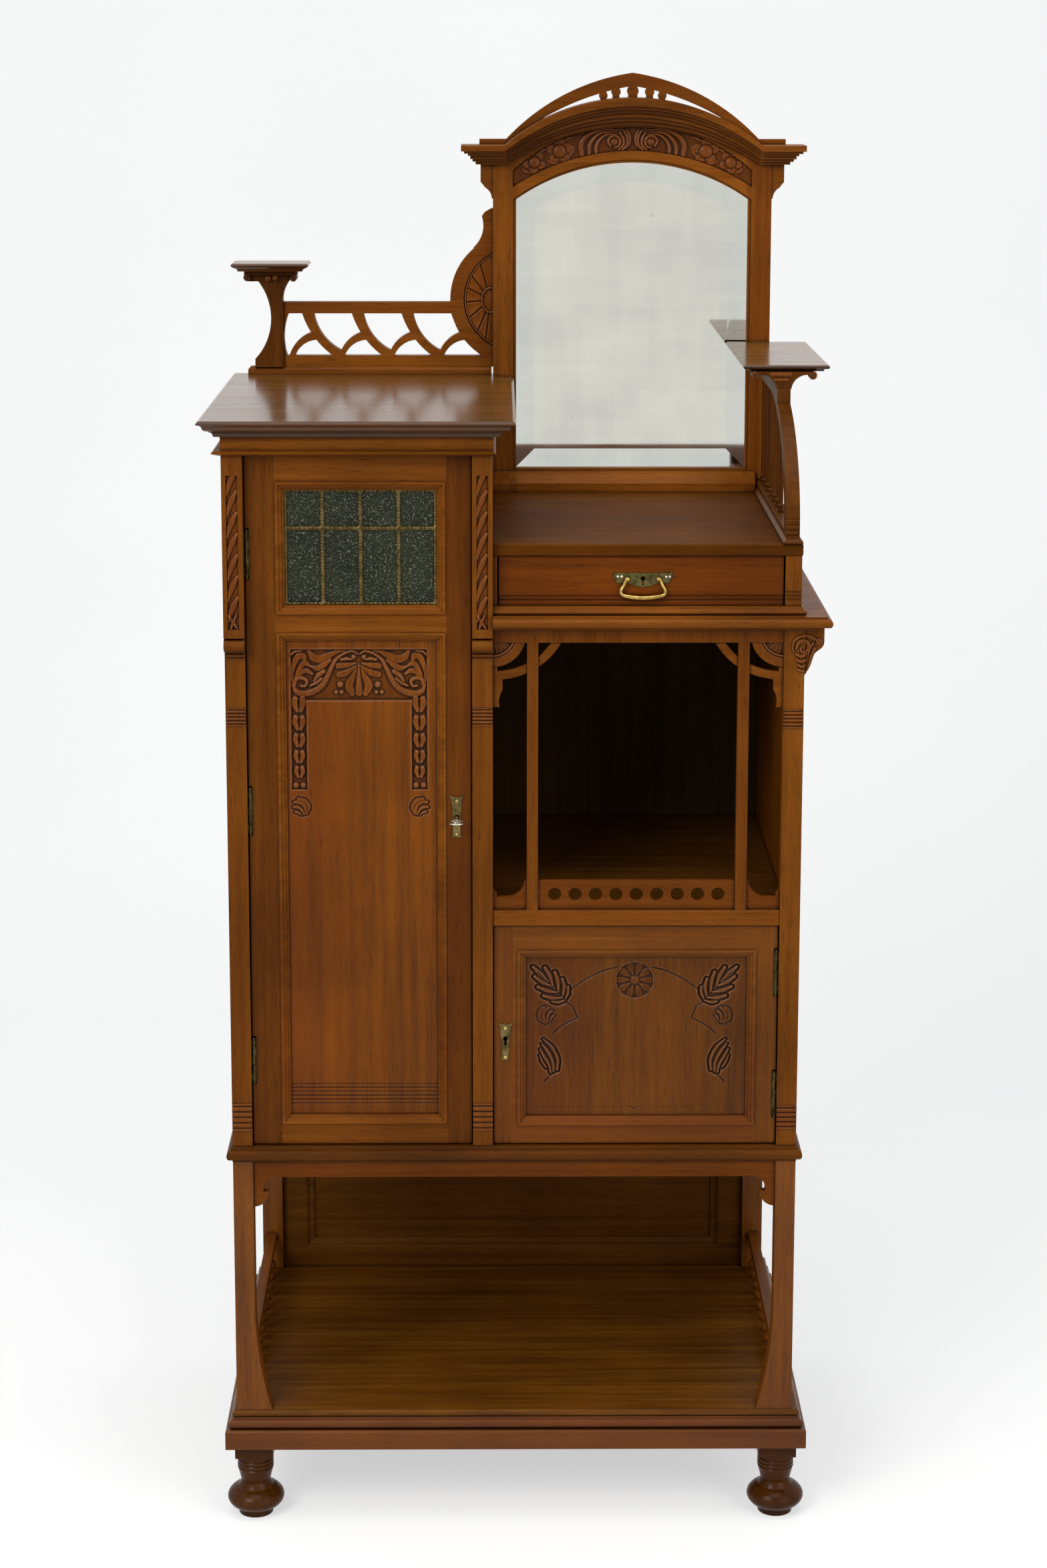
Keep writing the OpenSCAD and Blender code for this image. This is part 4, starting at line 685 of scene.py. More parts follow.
# the tall door's panel: a scrolled frieze, two drops of bell flowers, a husk under each, reeds at the foot
tallPanel = {
    "face": 26.0,
    "back": 34.0,
    # start, end and step of the runs that make the grid, finer where it is carved
    "columns": [(83.0, 88, 2), (88, 121, 0.75), (121, 233, 0.9), (233, 265, 0.75), (265, 278.0, 2)],
    "rows": [(537.0, 552, 3), (552, 584, 0.55), (584, 920, 8), (920, 1140, 0.75), (1140, 1154.0, 3)],
    "frieze": (177.0, 1137.5),  # middle of the frieze's top edge
    "friezeSize": (167.5, 64.0),
    "depth": 3.0,
    "crown": 3.0,
    "dropWidth": 19.5,
    "dropFoot": 961.0,
    "bells": 5,
    "bellHead": 59.0,  # from the frieze's top edge down to the first flower
    "bellPitch": 22.6,
    "bellSize": (1.06, 0.06),  # the first one's, and how much each next one loses
    "ballRise": 6.0,
    "husk": (939.0, 2.4),  # middle and depth
    "reeds": 5,
    "reedFoot": 555.8,
    "reedPitch": 5.15,
    "reedDepth": 1.0,
    "groove": (0.95, 1.7),  # half width and depth
}
scrollLeaf = [  # (points, half widths, hollow), mm from the middle of the top edge
    (
        [
            (-81, -45), (-77, -53), (-68, -56), (-56, -53), (-45, -45), (-38, -33), (-33, -22), (-28, -13),
            (-18, -5.5), (-8, -2.4), (-1.5, -6),
        ],
        [2, 4, 4.6, 4.6, 4.4, 3.8, 3.2, 2.8, 2.4, 2, 1.4],
    ),
    ([(-79, -45), (-77, -38), (-70, -36), (-64, -40), (-66, -46), (-71, -46)], [2.4, 3, 3, 2.6, 2.2, 1.6]),
    (
        [(-81, -44), (-82, -30), (-79, -18), (-74, -9), (-68, -9), (-66, -15)],
        [1.4, 2.8, 3.8, 4.4, 4.2, 2.2],
        0.3,
    ),
    ([(-83, -7), (-78, -3), (-70, -2)], [1.8, 1.8, 1.2]),
    ([(-79, -42), (-74, -28), (-67, -18), (-60, -21)], [1.4, 3.2, 3.8, 1.8], 0.3),
    ([(-78, -42), (-72, -31), (-64, -27), (-57, -31)], [1.4, 3, 3.4, 1.8], 0.3),
    (
        [(-61, -2.5), (-56, -10), (-48, -12.5), (-38, -9), (-28, -4), (-17, -1.8)],
        [2.4, 5, 5.6, 4.8, 3, 1],
        0.35,
    ),
    ([(-58, -22), (-50, -24), (-42, -19), (-35, -14)], [1.8, 4, 4.2, 2.4], 0.2),
    ([(-55, -40), (-50, -33), (-43, -28)], [1.6, 3.6, 3.2]),
    ([(-60, -46), (-52, -42), (-46, -37)], [1.4, 2.8, 2.2]),
    ([(-2, -20), (-7, -34), (-12, -46), (-8, -56)], [0.8, 3.6, 5.4, 3.6], 0.45),
    ([(-4, -21), (-14, -29), (-24, -32)], [1, 4.2, 3.8], 0.45),
    ([(-4, -18), (-14, -20), (-25, -21)], [1, 3.6, 4], 0.35),
    ([(-8, -13), (-15, -12), (-21, -13)], [1.2, 2.6, 2.4]),
    ([(-6.4, -9.6), (-6.3, -9.6)], [3.4, 3.4]),
    ([(-23, -44.5), (-22.9, -44.5)], [4.2, 4.2]),
    ([(-28, -54), (-27.9, -54)], [2.8, 2.8]),
    ([(-21.5, -54), (-21.4, -54)], [2.8, 2.8]),
]
middlePetal = [([(0, -18), (0, -38), (0, -55)], [0.7, 3.4, 4.6], 0.25)]
bellFlower = [
    ([(-4.2, -3.2), (-4.8, -9), (-2.2, -17)], [4, 4.6, 2.8]),
    ([(4.2, -3.2), (4.8, -9), (2.2, -17)], [4, 4.6, 2.8]),
]
husk = [
    ([(7, -9), (9.5, 0), (4, 8), (-4, 10)], [1.4, 2.8, 3.2, 2.8], 0.15),
    ([(5, -9.5), (4.5, -1), (-1, 5), (-9, 6)], [1.3, 2.5, 2.9, 2.6], 0.15),
    ([(3, -10.5), (0, -4), (-5, -0.5), (-10, -0.5)], [1.2, 2.3, 2.5, 2.2], 0.15),
    ([(0, -11), (-4, -7.5), (-8, -6.5)], [1, 1.9, 1.8]),
]


def carveTallPanel():
    panel = tallPanel
    xs, zs = gridLine(panel["columns"]), gridLine(panel["rows"])
    height = np.zeros((len(zs), len(xs)))
    crown = panel["crown"]
    middle, top = panel["frieze"]
    half = panel["friezeSize"][0] / 2
    sinkBox(
        height, xs, zs, (middle - half, middle + half), (top - panel["friezeSize"][1], top), panel["depth"]
    )
    for x in (middle - half, middle + half - panel["dropWidth"]):
        sinkBox(height, xs, zs, (x, x + panel["dropWidth"]), (panel["dropFoot"], top - 20), panel["depth"])
    for mirrored in (False, True):
        carve(height, xs, zs, placed(scrollLeaf, panel["frieze"], mirrored), crown=crown, ground=False)
        axis = middle + (1 if mirrored else -1) * (half - panel["dropWidth"] / 2)
        level = top - panel["bellHead"]
        for k in range(panel["bells"]):
            size = panel["bellSize"][0] - panel["bellSize"][1] * k
            carve(height, xs, zs, placed(bellFlower, (axis, level), size=size), crown=crown, ground=False)
            vein = [(axis, level - 4), (axis - 0.8, level - 8), (axis + 0.4, level - 13 * size)]
            engrave(height, xs, zs, vein, 1.1, 3.0)
            level -= panel["bellPitch"] * size
        balls = [([(side * 4.7, -1), (side * 4.7, -1.1)], [4.2, 4.2]) for side in (-1, 1)]
        ballPlace = (axis, panel["dropFoot"] + panel["ballRise"])
        carve(height, xs, zs, placed(balls, ballPlace), crown=crown, ground=False)
        huskHeight, huskDepth = panel["husk"]
        huskPlace = (axis + (0 if mirrored else 2), huskHeight)
        carve(height, xs, zs, placed(husk, huskPlace, mirrored), depth=huskDepth, crown=huskDepth)
    carve(height, xs, zs, placed(middlePetal, panel["frieze"]), crown=crown, ground=False)

    # the reeds across its foot, between engraved grooves
    foot, pitch = panel["reedFoot"], panel["reedPitch"]
    for i in range(panel["reeds"] + 1):
        z = foot + i * pitch
        engrave(height, xs, zs, [(xs[0] + 1, z), (xs[-1] - 1, z)], *panel["groove"])
    bulge = (zs > foot) & (zs < foot + panel["reeds"] * pitch)
    wave = np.abs(np.sin((zs - foot) / pitch * math.pi)) ** 0.5 - 1
    height[bulge] = np.minimum(height[bulge], panel["reedDepth"] * wave[bulge][:, None])
    shade = 0.25 * (height < -1.2) + 1.1 * (bulge & (wave < -0.5))[:, None]
    face, back = panel["face"], panel["back"]
    board = carvedBoard(
        "carved_tall_panel", xs, zs, height, face, back, carvedWalnut, "tall_door", shade=shade
    )
    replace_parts(board, "tall_door_panel")


# the low door's panel: a rosette on an arched stem, with leaves, a bud and a husk on each side
lowPanel = {
    "face": 26.0,
    "back": 34.0,
    # start, end and step of the runs that make the grid, finer where it is carved
    "columns": [
        (377.0, 386, 2), (386, 450, 0.8), (450, 490, 1.0), (490, 546, 0.7), (546, 586, 1.0),
        (586, 652, 0.8), (652, 663.0, 2),
    ],
    "rows": [(534.5, 548, 2), (548, 554, 0.6), (554, 580, 2), (580, 742, 0.8), (742, 752.0, 2)],
    "rose": (518.0, 716.0),
    "roseRadius": 23.2,
    "roseDepth": 2.0,
    "petals": 10,
    "bud": (111, 45.5),  # out from the rosette and down
    "budRing": (13, 13.5),
    "line": 551.0,
    "depth": 2.5,
}
sprayLeaf = [  # mm from the rosette's centre, left side
    ([(-87, -26), (-83.5, -17), (-83, -9)], [1.2, 2.8, 2]),
    ([(-90, -22), (-88, -9), (-90, 1)], [1.2, 3.2, 2.4]),
    ([(-95, -16), (-96, -2), (-99.5, 10)], [1.2, 3.4, 2.8]),
    ([(-102, -8), (-106, 5), (-112, 16)], [1.2, 3.6, 2.8]),
    ([(-108, -2), (-118, 8), (-127, 17)], [1.4, 3.8, 2.4]),
    ([(-88, -27), (-96, -29), (-103, -28)], [1.2, 2.6, 1.8]),
    ([(-91, -23), (-103, -23.5), (-114, -20.5)], [1.2, 3.2, 2.4]),
    ([(-97, -16), (-109, -14), (-121, -9)], [1.2, 3.4, 2.4]),
    ([(-103, -8), (-115, -3), (-125, 4.5)], [1.2, 3.4, 2.4]),
]
sprayStem = [
    ([(-23, 16.5), (-38, 12.5), (-59, 2.5), (-80, -12.5)], 0.9),
    ([(-85, -29), (-77, -35), (-73, -45), (-71, -49)], 0.7),
    ([(-71, -49), (-83, -55), (-95, -63), (-101, -69)], 0.8),
    ([(-103, -123), (-108, -127), (-113, -133)], 0.7),
]
leafVein = [(-84, -28), (-97, -14), (-112, 1), (-121, 11)]
lowerHusk = [
    ([(-114, -77), (-103, -88), (-96, -103), (-96.5, -117)], [1.2, 2.9, 2.9, 2.2], 0.1),
    ([(-116, -83), (-108, -94), (-102, -107), (-101, -119)], [1.2, 2.7, 2.7, 2], 0.1),
    ([(-118, -90), (-113, -100), (-107, -110), (-104.5, -121)], [1.2, 2.5, 2.5, 1.6], 0.1),
    ([(-118.5, -98), (-115.5, -106), (-110.5, -114)], [1, 1.9, 1.5]),
]


def carveLowPanel():
    panel = lowPanel
    xs, zs = gridLine(panel["columns"]), gridLine(panel["rows"])
    height = np.zeros((len(zs), len(xs)))
    rose, depth, line = panel["rose"], panel["depth"], panel["line"]
    around = np.linspace(0, 2 * math.pi, 9)
    wide, high = panel["budRing"]
    ring = [([(wide * math.cos(a), high * math.sin(a)) for a in around], [0.8, 0.8])]
    for mirrored in (False, True):
        side = -1 if mirrored else 1
        for points, half in sprayStem:
            stem = placed([(points, [half])], rose, mirrored)[0][0]
            engrave(height, xs, zs, stem, half * 1.5, 1.6)
        carve(height, xs, zs, placed(sprayLeaf, rose, mirrored), depth=depth, crown=depth, margin=2.0)
        engrave(height, xs, zs, placed([(leafVein, [1])], rose, mirrored)[0][0], 0.7, 1.9)
        carve(height, xs, zs, placed(lowerHusk, rose, mirrored), depth=depth, crown=depth, margin=1.8)
        bud = (rose[0] - side * panel["bud"][0], rose[1] - panel["bud"][1])
        carve(height, xs, zs, placed(husk, bud, not mirrored, turn=-35, size=0.95), depth=1.8, crown=1.8)
        for points, _ in placed(ring, bud):
            engrave(height, xs, zs, points, 0.8, 1.4)
        engrave(height, xs, zs, [(rose[0] - side * 121.5, line), (rose[0] - side * 5, line)], 0.9, 1.0)
        engrave(height, xs, zs, [(rose[0] - side * 126, line + 16), (rose[0] - side * 127, 640)], 0.8, 0.8)
        engrave(height, xs, zs, [(rose[0] - side * 5, line), (rose[0], line - 3)], 0.8, 1.0)

    # the rosette: hollow petals with a seam down each, round a ball
    x, z = np.meshgrid(xs, zs)
    out = np.hypot(x - rose[0], z - rose[1])
    height[:] = np.minimum(height, -panel["roseDepth"] * np.clip((panel["roseRadius"] - out) / 0.6, 0, 1))
    petal = [([(0, 7.5), (0, 14), (0, 20.2)], [1.4, 3.9, 4.0], 0.5)]
    seam = [([(0, 10), (0, 15)], [0.9, 0.5])]
    ball = [([(0, 0), (0.1, 0)], [6, 6])]
    for i in range(panel["petals"]):
        turn = 360 * (i + 0.5) / panel["petals"]
        carve(height, xs, zs, placed(petal, rose, turn=turn), crown=2.0, ground=False)
        carve(height, xs, zs, placed(seam, rose, turn=turn), crown=0.7, ground=False)
    carve(height, xs, zs, placed(ball, rose), crown=2.3, ground=False)
    shade = 0.35 * (height < -0.6)
    face, back = panel["face"], panel["back"]
    board = carvedBoard(
        "carved_low_panel", xs, zs, height, face, back, lowCarvedWalnut, "low_door", shade=shade
    )
    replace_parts(board, "low_door_panel")


# the twisted ribbons cut into the pilasters' upper blocks
ribbon = {"width": 13.7, "pitch": 26.0, "depth": 2.6}
strand = [([(-6, -17), (-4, -7), (0.5, 4), (5.2, 13)], [1.2, 3.4, 4.2, 2.4])]
ribbonTail = [
    ([(-5.5, 17), (-1, 9), (4.5, 1)], [1.6, 2.6, 1.2]),
    ([(3, 17), (-1, 8), (-3.5, 1)], [1.4, 2.4, 1.4]),
]


def carveRibbons():
    low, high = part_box("rope_mouldings")
    face = low.y / mm - plinth["front"]
    back = high.y / mm - plinth["front"]
    width, depth, pitch = ribbon["width"], ribbon["depth"], ribbon["pitch"]
    for k, left in enumerate((low.x / mm - plinth["left"], high.x / mm - plinth["left"] - width)):
        xs = gridLine([(left, left + width, 0.6)])
        zs = gridLine([(low.z / mm, high.z / mm, 0.7)])
        height = np.full((len(zs), len(xs)), -depth)
        axis = left + width / 2
        level = zs[0] + pitch
        carve(height, xs, zs, placed(ribbonTail, (axis, zs[0])), crown=depth, ground=False)
        while level < zs[-1] + 10:
            carve(height, xs, zs, placed(strand, (axis, level)), crown=depth, ground=False)
            level += pitch
        board = carvedBoard(
            "twisted_ribbon_%d" % (k + 1), xs, zs, height, face, back, carvedWalnut, "cabinet"
        )
        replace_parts(board, "rope_mouldings")


# reliefs laid on a sunk ground or a plain face
def reliefPatch(name, x, z, step, face, back, strokes, body, crown=2.6, base=None, finish=None):
    xs = gridLine([(x[0], x[1], step)])
    zs = gridLine([(z[0], z[1], step)])
    height = np.zeros((len(zs), len(xs))) if base is None else base(xs, zs)
    level = height.copy()
    for group in strokes:
        carve(height, xs, zs, group, crown=crown, ground=False)
    flat = height - level <= 0.04
    keep = ~squares(flat)  # every square with a raised corner stays
    board = carvedBoard(name, xs, zs, height, face, back, finish or carvedWalnut, body, keep)
    return board


def roseStrokes(centre, ball, petal, turn):
    # five hollow petals round a ball
    strokes = []
    for i in range(5):
        a = math.radians(turn + 72 * i)
        near, far = 0.5 * petal, 0.66 * petal
        points = [(near * math.cos(a), near * math.sin(a)), (far * math.cos(a), far * math.sin(a))]
        strokes.append((points, [0.3 * petal, 0.36 * petal], 0.55))
    heart = [([(0, 0), (0.1, 0)], [ball, ball])]
    return placed(strokes, centre), placed(heart, centre)


# the mirror's head: a scroll between gadroons in the middle, two roses on each side, on a matted ground
headCarving = {
    "middle": 526.75,
    "ground": 461.0,
    "z": (1672.0, 1762.0),
    "halfWidth": 159.2,
    # centre height and radius of the two arcs that end the ground
    "upper": [(1522.1, 238.9), (1446.95, 309.85)],
    "lower": (1435.84, 289.66),
    "shoulder": 1706.0,
    "roses": [((-97.4, 1725.0), 9.2, 17.8, 20), ((-130.8, 1710.2), 7.8, 15.2, 50)],
    "widen": 1.22,
    "crown": 2.6,
    "leafCrown": 1.7,
    "petalCrown": 2.4,
    "ballCrown": 3.6,
    "step": 0.72,
    "punch": (0.12, 0.42),  # how high the punch marks leave the ground
}
headScroll = [  # (points, half widths, hollow), x from the middle, z from the floor
    ([(-22, 1753.5), (-43, 1753), (-60, 1745.8), (-68.6, 1734), (-67.4, 1720.6)], [0.9, 2.0, 2.8, 3.3, 2.9]),
    ([(-23, 1750.6), (-42, 1749), (-53, 1740.5), (-57.6, 1731), (-57.6, 1722.4)], [0.8, 1.7, 2.3, 2.8, 2.5]),
    (
        [(-22, 1747.6), (-35, 1746.6), (-44.5, 1739.5), (-48.6, 1731), (-48.6, 1723.6)],
        [0.7, 1.5, 2.0, 2.5, 2.2],
    ),
    (
        [
            (-29.5, 1732), (-32.6, 1738), (-29, 1744), (-22, 1745), (-16.8, 1740), (-18, 1732.5),
            (-24, 1729.6),
        ],
        [1.3, 1.8, 2.0, 2.0, 2.0, 1.8, 1.2],
    ),
    ([(-24.4, 1737.3), (-24.3, 1737.3)], [4.4, 4.4]),
    ([(-18.6, 1726.8), (-12.8, 1732.5), (-12.2, 1741), (-17, 1749.5)], [1.2, 1.9, 1.9, 1.0]),
    ([(-13.6, 1726.4), (-7.8, 1733), (-7.4, 1744), (-12, 1752.6)], [1.2, 1.9, 1.9, 1.0]),
    ([(-5.2, 1731.5), (-3.4, 1740), (-5, 1748), (-8.4, 1754)], [0.9, 1.6, 1.6, 0.9]),
]
headLeaves = [
    ([(-92, 1738), (-86.5, 1741.6), (-80.5, 1743.4)], [1.0, 2.3, 1.2], 0.3),
    ([(-84, 1719), (-80, 1724.5), (-79, 1731)], [1.0, 2.3, 1.1], 0.3),
    ([(-125.5, 1720), (-120.5, 1725.4), (-114.5, 1728.4)], [0.9, 2.1, 1.1], 0.3),
    ([(-146, 1702), (-143.5, 1698.5), (-139, 1697)], [0.9, 1.9, 1.0], 0.3),
    ([(-112, 1712), (-106, 1708.6), (-100, 1709)], [0.9, 1.6, 0.8], 0.3),
]


def carveHead():
    head = headCarving
    middle, step = head["middle"], head["step"]
    xs = gridLine([(middle - head["halfWidth"], middle + head["halfWidth"], step)])
    zs = gridLine([(head["z"][0], head["z"][1], step)])
    matted = np.random.default_rng(7).uniform(*head["punch"], (len(zs), len(xs)))
    height = np.zeros_like(matted)
    wide = [(points, [w * head["widen"] for w in widths], *hollow) for points, widths, *hollow in headScroll]
    for mirrored in (False, True):
        side = -1 if mirrored else 1
        carve(height, xs, zs, placed(wide, (middle, 0), mirrored), crown=head["crown"], ground=False)
        carve(
            height, xs, zs, placed(headLeaves, (middle, 0), mirrored), crown=head["leafCrown"], ground=False
        )
        for (out, level), ball, petal, turn in head["roses"]:
            centre = (middle + side * out, level)
            petals, heart = roseStrokes(centre, ball, petal, 180 - turn if mirrored else turn)
            carve(height, xs, zs, petals, crown=head["petalCrown"], ground=False)
            part, inside = strokeOver(xs, zs, heart[0], 0.9)
            height[part] = np.where(inside > 0, 0.3, height[part])  # a clean cut round the ball
            carve(height, xs, zs, heart, crown=head["ballCrown"], ground=False)
    height[:] = np.maximum(height, matted)
    x, z = np.meshgrid(xs - middle, zs)
    arcs = [centre + np.sqrt(radius**2 - x**2) for centre, radius in head["upper"] + [head["lower"]]]
    inside = (z < np.minimum(arcs[0], np.maximum(arcs[1], head["shoulder"])) - 0.2) & (z > arcs[2] + 0.2)
    ground, shade = head["ground"], 0.5 * (height < 0.5)
    keep = squares(inside)
    board = carvedBoard(
        "carved_mirror_head", xs, zs, height, ground, ground + 0.3, carvedWalnut, "cabinet", keep, shade
    )


# the gallery's shell: flutes that fan out from a ringed hub to a beaded rim
shell = {
    "hub": (338.0, 1524.8),
    "hubSize": (12.0, 17.0),
    "rimMiddle": (371.8, 1526.0),
    "rimRadius": 70.2,
    "x": (300.5, 340.9),
    "reach": 66,
    "step": 0.5,
    "ground": 489.0,
    "seams": [78, 105.9, 128.2, 152.4, 185, 219.2, 247.4, 262.8, 286],  # degrees round the hub
}


def carveShell():
    xs = gridLine([(*shell["x"], shell["step"])])
    rimX, rimZ = shell["rimMiddle"]
    zs = gridLine([(rimZ - shell["reach"], rimZ + shell["reach"], shell["step"])])
    x, z = np.meshgrid(xs, zs)
    toRim = shell["rimRadius"] - np.hypot(x - rimX, z - rimZ)
    across, up = x - shell["hub"][0], z - shell["hub"][1]
    out = np.hypot(across, up)
    turn = np.degrees(np.arctan2(up, across)) % 360
    seams = np.array(shell["seams"], float)
    k = np.clip(np.searchsorted(seams, turn) - 1, 0, len(seams) - 2)
    part = np.clip((turn - seams[k]) / (seams[k + 1] - seams[k]), 0, 1)
    edge = out * np.radians(np.minimum(turn - seams[k], seams[k + 1] - turn))  # mm from the nearest seam
    reach = out / (out + np.maximum(toRim, 0.01))

    # flutes that deepen outwards, a groove at each seam, the flat under the rim, and its bead
    height = 1.2 + 3.0 * reach**1.2 - 1.7 * np.sin(math.pi * part) * reach
    height -= 2.4 * np.exp(-((edge / 1.0) ** 2))
    height = np.where(toRim < 3.4, 1.0, height)
    height = np.maximum(height, 4.5 * np.sqrt(np.clip(1 - ((toRim - 2.0) / 1.2) ** 2, 0, 1)))

    # the hub, dished inside its ring
    ring = np.hypot(across / shell["hubSize"][0], up / shell["hubSize"][1])
    height = np.where(ring < 1.08, 0.6 + 1.2 * (1 - ring), height)
    height = np.maximum(height, 3.6 * np.sqrt(np.clip(1 - ((ring - 0.97) / 0.1) ** 2, 0, 1)))
    height = np.maximum(height, 0.15)
    face, keep = shell["ground"], squares(toRim > 0.1)
    board = carvedBoard("carved_shell", xs, zs, height, face, face + 3.5, carvedWalnut, "cabinet", keep)


# quarter fans in the niche's upper corners, fluted inside a bead
nicheFan = {
    "corners": ((341.0, 1), (696.5, -1)),  # x of the post, way to the niche's middle
    "rail": 1148.0,
    "lift": 10.0,  # the fan's centre lies this far above the rail's lower edge
    "radius": 40.9,
    "bead": 27.0,
    "flutes": 6,
    "size": (41, 31),
    "step": 0.45,
    "y": (16.0, 26.0),
}


def carveFans():
    fan = nicheFan
    wide, high = fan["size"]
    step, bead = fan["step"], fan["bead"]
    for corner, side in fan["corners"]:
        far = corner + side * wide
        xs = gridLine([(min(corner, far), max(corner, far), step)])
        zs = gridLine([(fan["rail"] - high, fan["rail"], step)])
        x, z = np.meshgrid((xs - corner) * side, zs - fan["rail"] - fan["lift"])
        out = np.hypot(x, z)
        turn = np.arctan2(-z, x) / (math.pi / 2)
        height = np.zeros_like(out)
        wave = np.abs(np.sin((turn - 0.04) * fan["flutes"] * math.pi)) ** 0.6
        fluted = (out < bead - 1.6) & (out > 9)
        height = np.where(fluted, -0.5 - 2.0 * wave * np.clip((out - 9) / 12, 0, 1), height)
        height = np.where(np.abs(out - bead + 1.6) < 0.7, -2.4, height)
        height = np.where(np.abs(out - bead - 1.5) < 0.6, -1.3, height)
        swell = 0.5 * np.sqrt(np.clip(1 - ((out - bead) / 1.1) ** 2, 0, 1))
        height = np.maximum(height, swell - 3 * (np.abs(out - bead) >= 1.1))
        name = "fluted_fan_%s" % ("left" if side > 0 else "right")
        face, back = fan["y"]
        keep = squares(out < fan["radius"])
        board = carvedBoard(name, xs, zs, height, face, back, carvedWalnut, "cabinet", keep)
        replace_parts(board, "niche_fans")


# the scroll over the right post and its corbel
corbelScroll = {
    "x": (704.5, 745.3),
    "z": (1108.0, 1164.5),
    "post": 12.0,
    "postEdge": 721.5,
    "setBack": 2.0,
}
corbelStrokes = [
    (
        [
            (710.5, 1141), (714, 1148.5), (720.5, 1150.5), (726, 1146), (725.5, 1139), (720, 1136),
            (716.2, 1139.5), (717.6, 1143.6),
        ],
        [1.6, 2.8, 3.2, 3.0, 2.6, 2.1, 1.6, 1.1],
        0.15,
    ),
    ([(710.5, 1134.5), (717, 1131.5), (724, 1134)], [1.6, 2.8, 1.6]),
    ([(711, 1128), (717, 1125), (723.5, 1127)], [1.5, 2.6, 1.5]),
    ([(712.5, 1121.5), (717.5, 1118.6), (722, 1120.5)], [1.3, 2.4, 1.3]),
    ([(714.5, 1114.5), (719.5, 1113.2)], [2.2, 1.8]),
    (
        [(708.2, 1136), (706.6, 1143), (709, 1151), (716, 1156), (725, 1156.6), (733, 1152.6)],
        [0.9, 1.5, 1.9, 2.2, 2.6, 2.4],
        0.2,
    ),
    ([(739.2, 1149.5), (739.3, 1149.4)], [5.0, 5.0]),
    ([(733.5, 1140.5), (730, 1131.5), (727.2, 1121), (724.6, 1113.5)], [2.6, 2.3, 1.8, 1.0], 0.25),
    ([(731.6, 1147.6), (727.8, 1141), (726.2, 1134)], [1.6, 1.9, 0.9]),
]


def carveCorbel():
    scroll = corbelScroll
    face = scroll["post"]
    back = face + scroll["setBack"] + 0.3

    def base(xs, zs):  # the corbel stands behind the post's face
        return np.tile(np.where(xs > scroll["postEdge"], -scroll["setBack"], 0.0), (len(zs), 1))

    x, z = scroll["x"], scroll["z"]
    reliefPatch(
        "corbel_scroll", x, z, 0.5, face, back, [corbelStrokes], "cabinet", crown=2.7, base=base
    )


# the bevelled plate in the mirror's frame
bevelPlate = {
    "middle": 526.75,
    "half": 154.75,  # the frame's opening
    "foot": 1300.0,
    "arcMiddle": 1438.9,
    "arcRadius": 271.1,
    "tuck": 4.6,  # how far the plate runs behind the frame
    "bevel": 25.0,
    "slope": 1.5,  # mm; the ground glass bends the view as if its silver leaned in by this much
    "y": (470.0, 473.9),
}


def plateOutline(inset, count=28):
    glass = bevelPlate
    half, radius = glass["half"] - inset, glass["arcRadius"] - inset
    foot = glass["foot"] + inset
    turn = math.asin(half / radius)
    line = [(-half, foot), (half, foot)]
    for i in range(count + 1):
        a = turn * (1 - 2 * i / count)
        line.append((radius * math.sin(a), glass["arcMiddle"] + radius * math.cos(a)))
    return [(glass["middle"] + x, z) for x, z in line]


def grindPlate():
    glass = bevelPlate
    work = bmesh.new()
    front, back = glass["y"]
    slope = glass["slope"]
    steps = [  # inset from the frame's opening, and depth
        (-glass["tuck"], back),
        (-glass["tuck"], front + 0.02),
        (0.0, front + slope * 0.25),
        (glass["bevel"], front + slope),
    ]
    rings = [[work.verts.new(spot(x, y, z)) for x, z in plateOutline(inset)] for inset, y in steps]
    for outer, inner in zip(rings, rings[1:]):
        for i in range(len(outer)):
            j = (i + 1) % len(outer)
            work.faces.new((outer[i], outer[j], inner[j], inner[i]))
    work.faces.new(rings[-1])
    work.faces.new(rings[0][::-1])
    bmesh.ops.recalc_face_normals(work, faces=work.faces)
    data = bpy.data.meshes.new("bevelled_plate")
    work.to_mesh(data)
    work.free()
    plate = addPiece("bevelled_plate", data, mirrorPlate, "cabinet", smooth=False)
    data.materials.append(bevelSilver)
    for face in data.polygons:
        face.material_index = 1 if len(face.vertices) == 4 else 0
    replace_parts(plate, "mirror_glass")


def spiral(centre, radius, turns=1.5, start=90, way=1):
    # a volute's stroke, narrowing to its eye
    points = []
    for i in range(15):
        t = i / 14
        a = math.radians(start + way * 360 * turns * t)
        r = radius * (1 - 0.72 * t)
        points.append((centre[0] + r * math.cos(a), centre[1] + r * math.sin(a)))
    return (points, [0.23 * radius, 0.2 * radius, 0.14 * radius])


def knob(x, z, radius):
    # a stroke so short that it stands as a round knob
    return ([(x, z), (x + 0.05, z)], [radius, radius])


# scrolls and roundels on the console's capital and on the arm's
capitals = {
    "console": {
        "face": 470.0,
        "volutes": [((11.3, 1556.0), 4.5, 1), ((73.0, 1555.5), 4.3, -1)],
        "roundels": [((39.0, 1555.2), 3.9), ((48.6, 1556.0), 3.6)],
        "rolls": [],
    },
    "arm": {
        "face": 161.0,
        "volutes": [((669.2, 1458.5), 4.6, 1), ((741.2, 1458.5), 4.6, -1)],
        "roundels": [],
        "rolls": [((690.5, 713.0), 1459.6, 3.0), ((694.0, 709.5), 1453.2, 2.3)],
    },
}


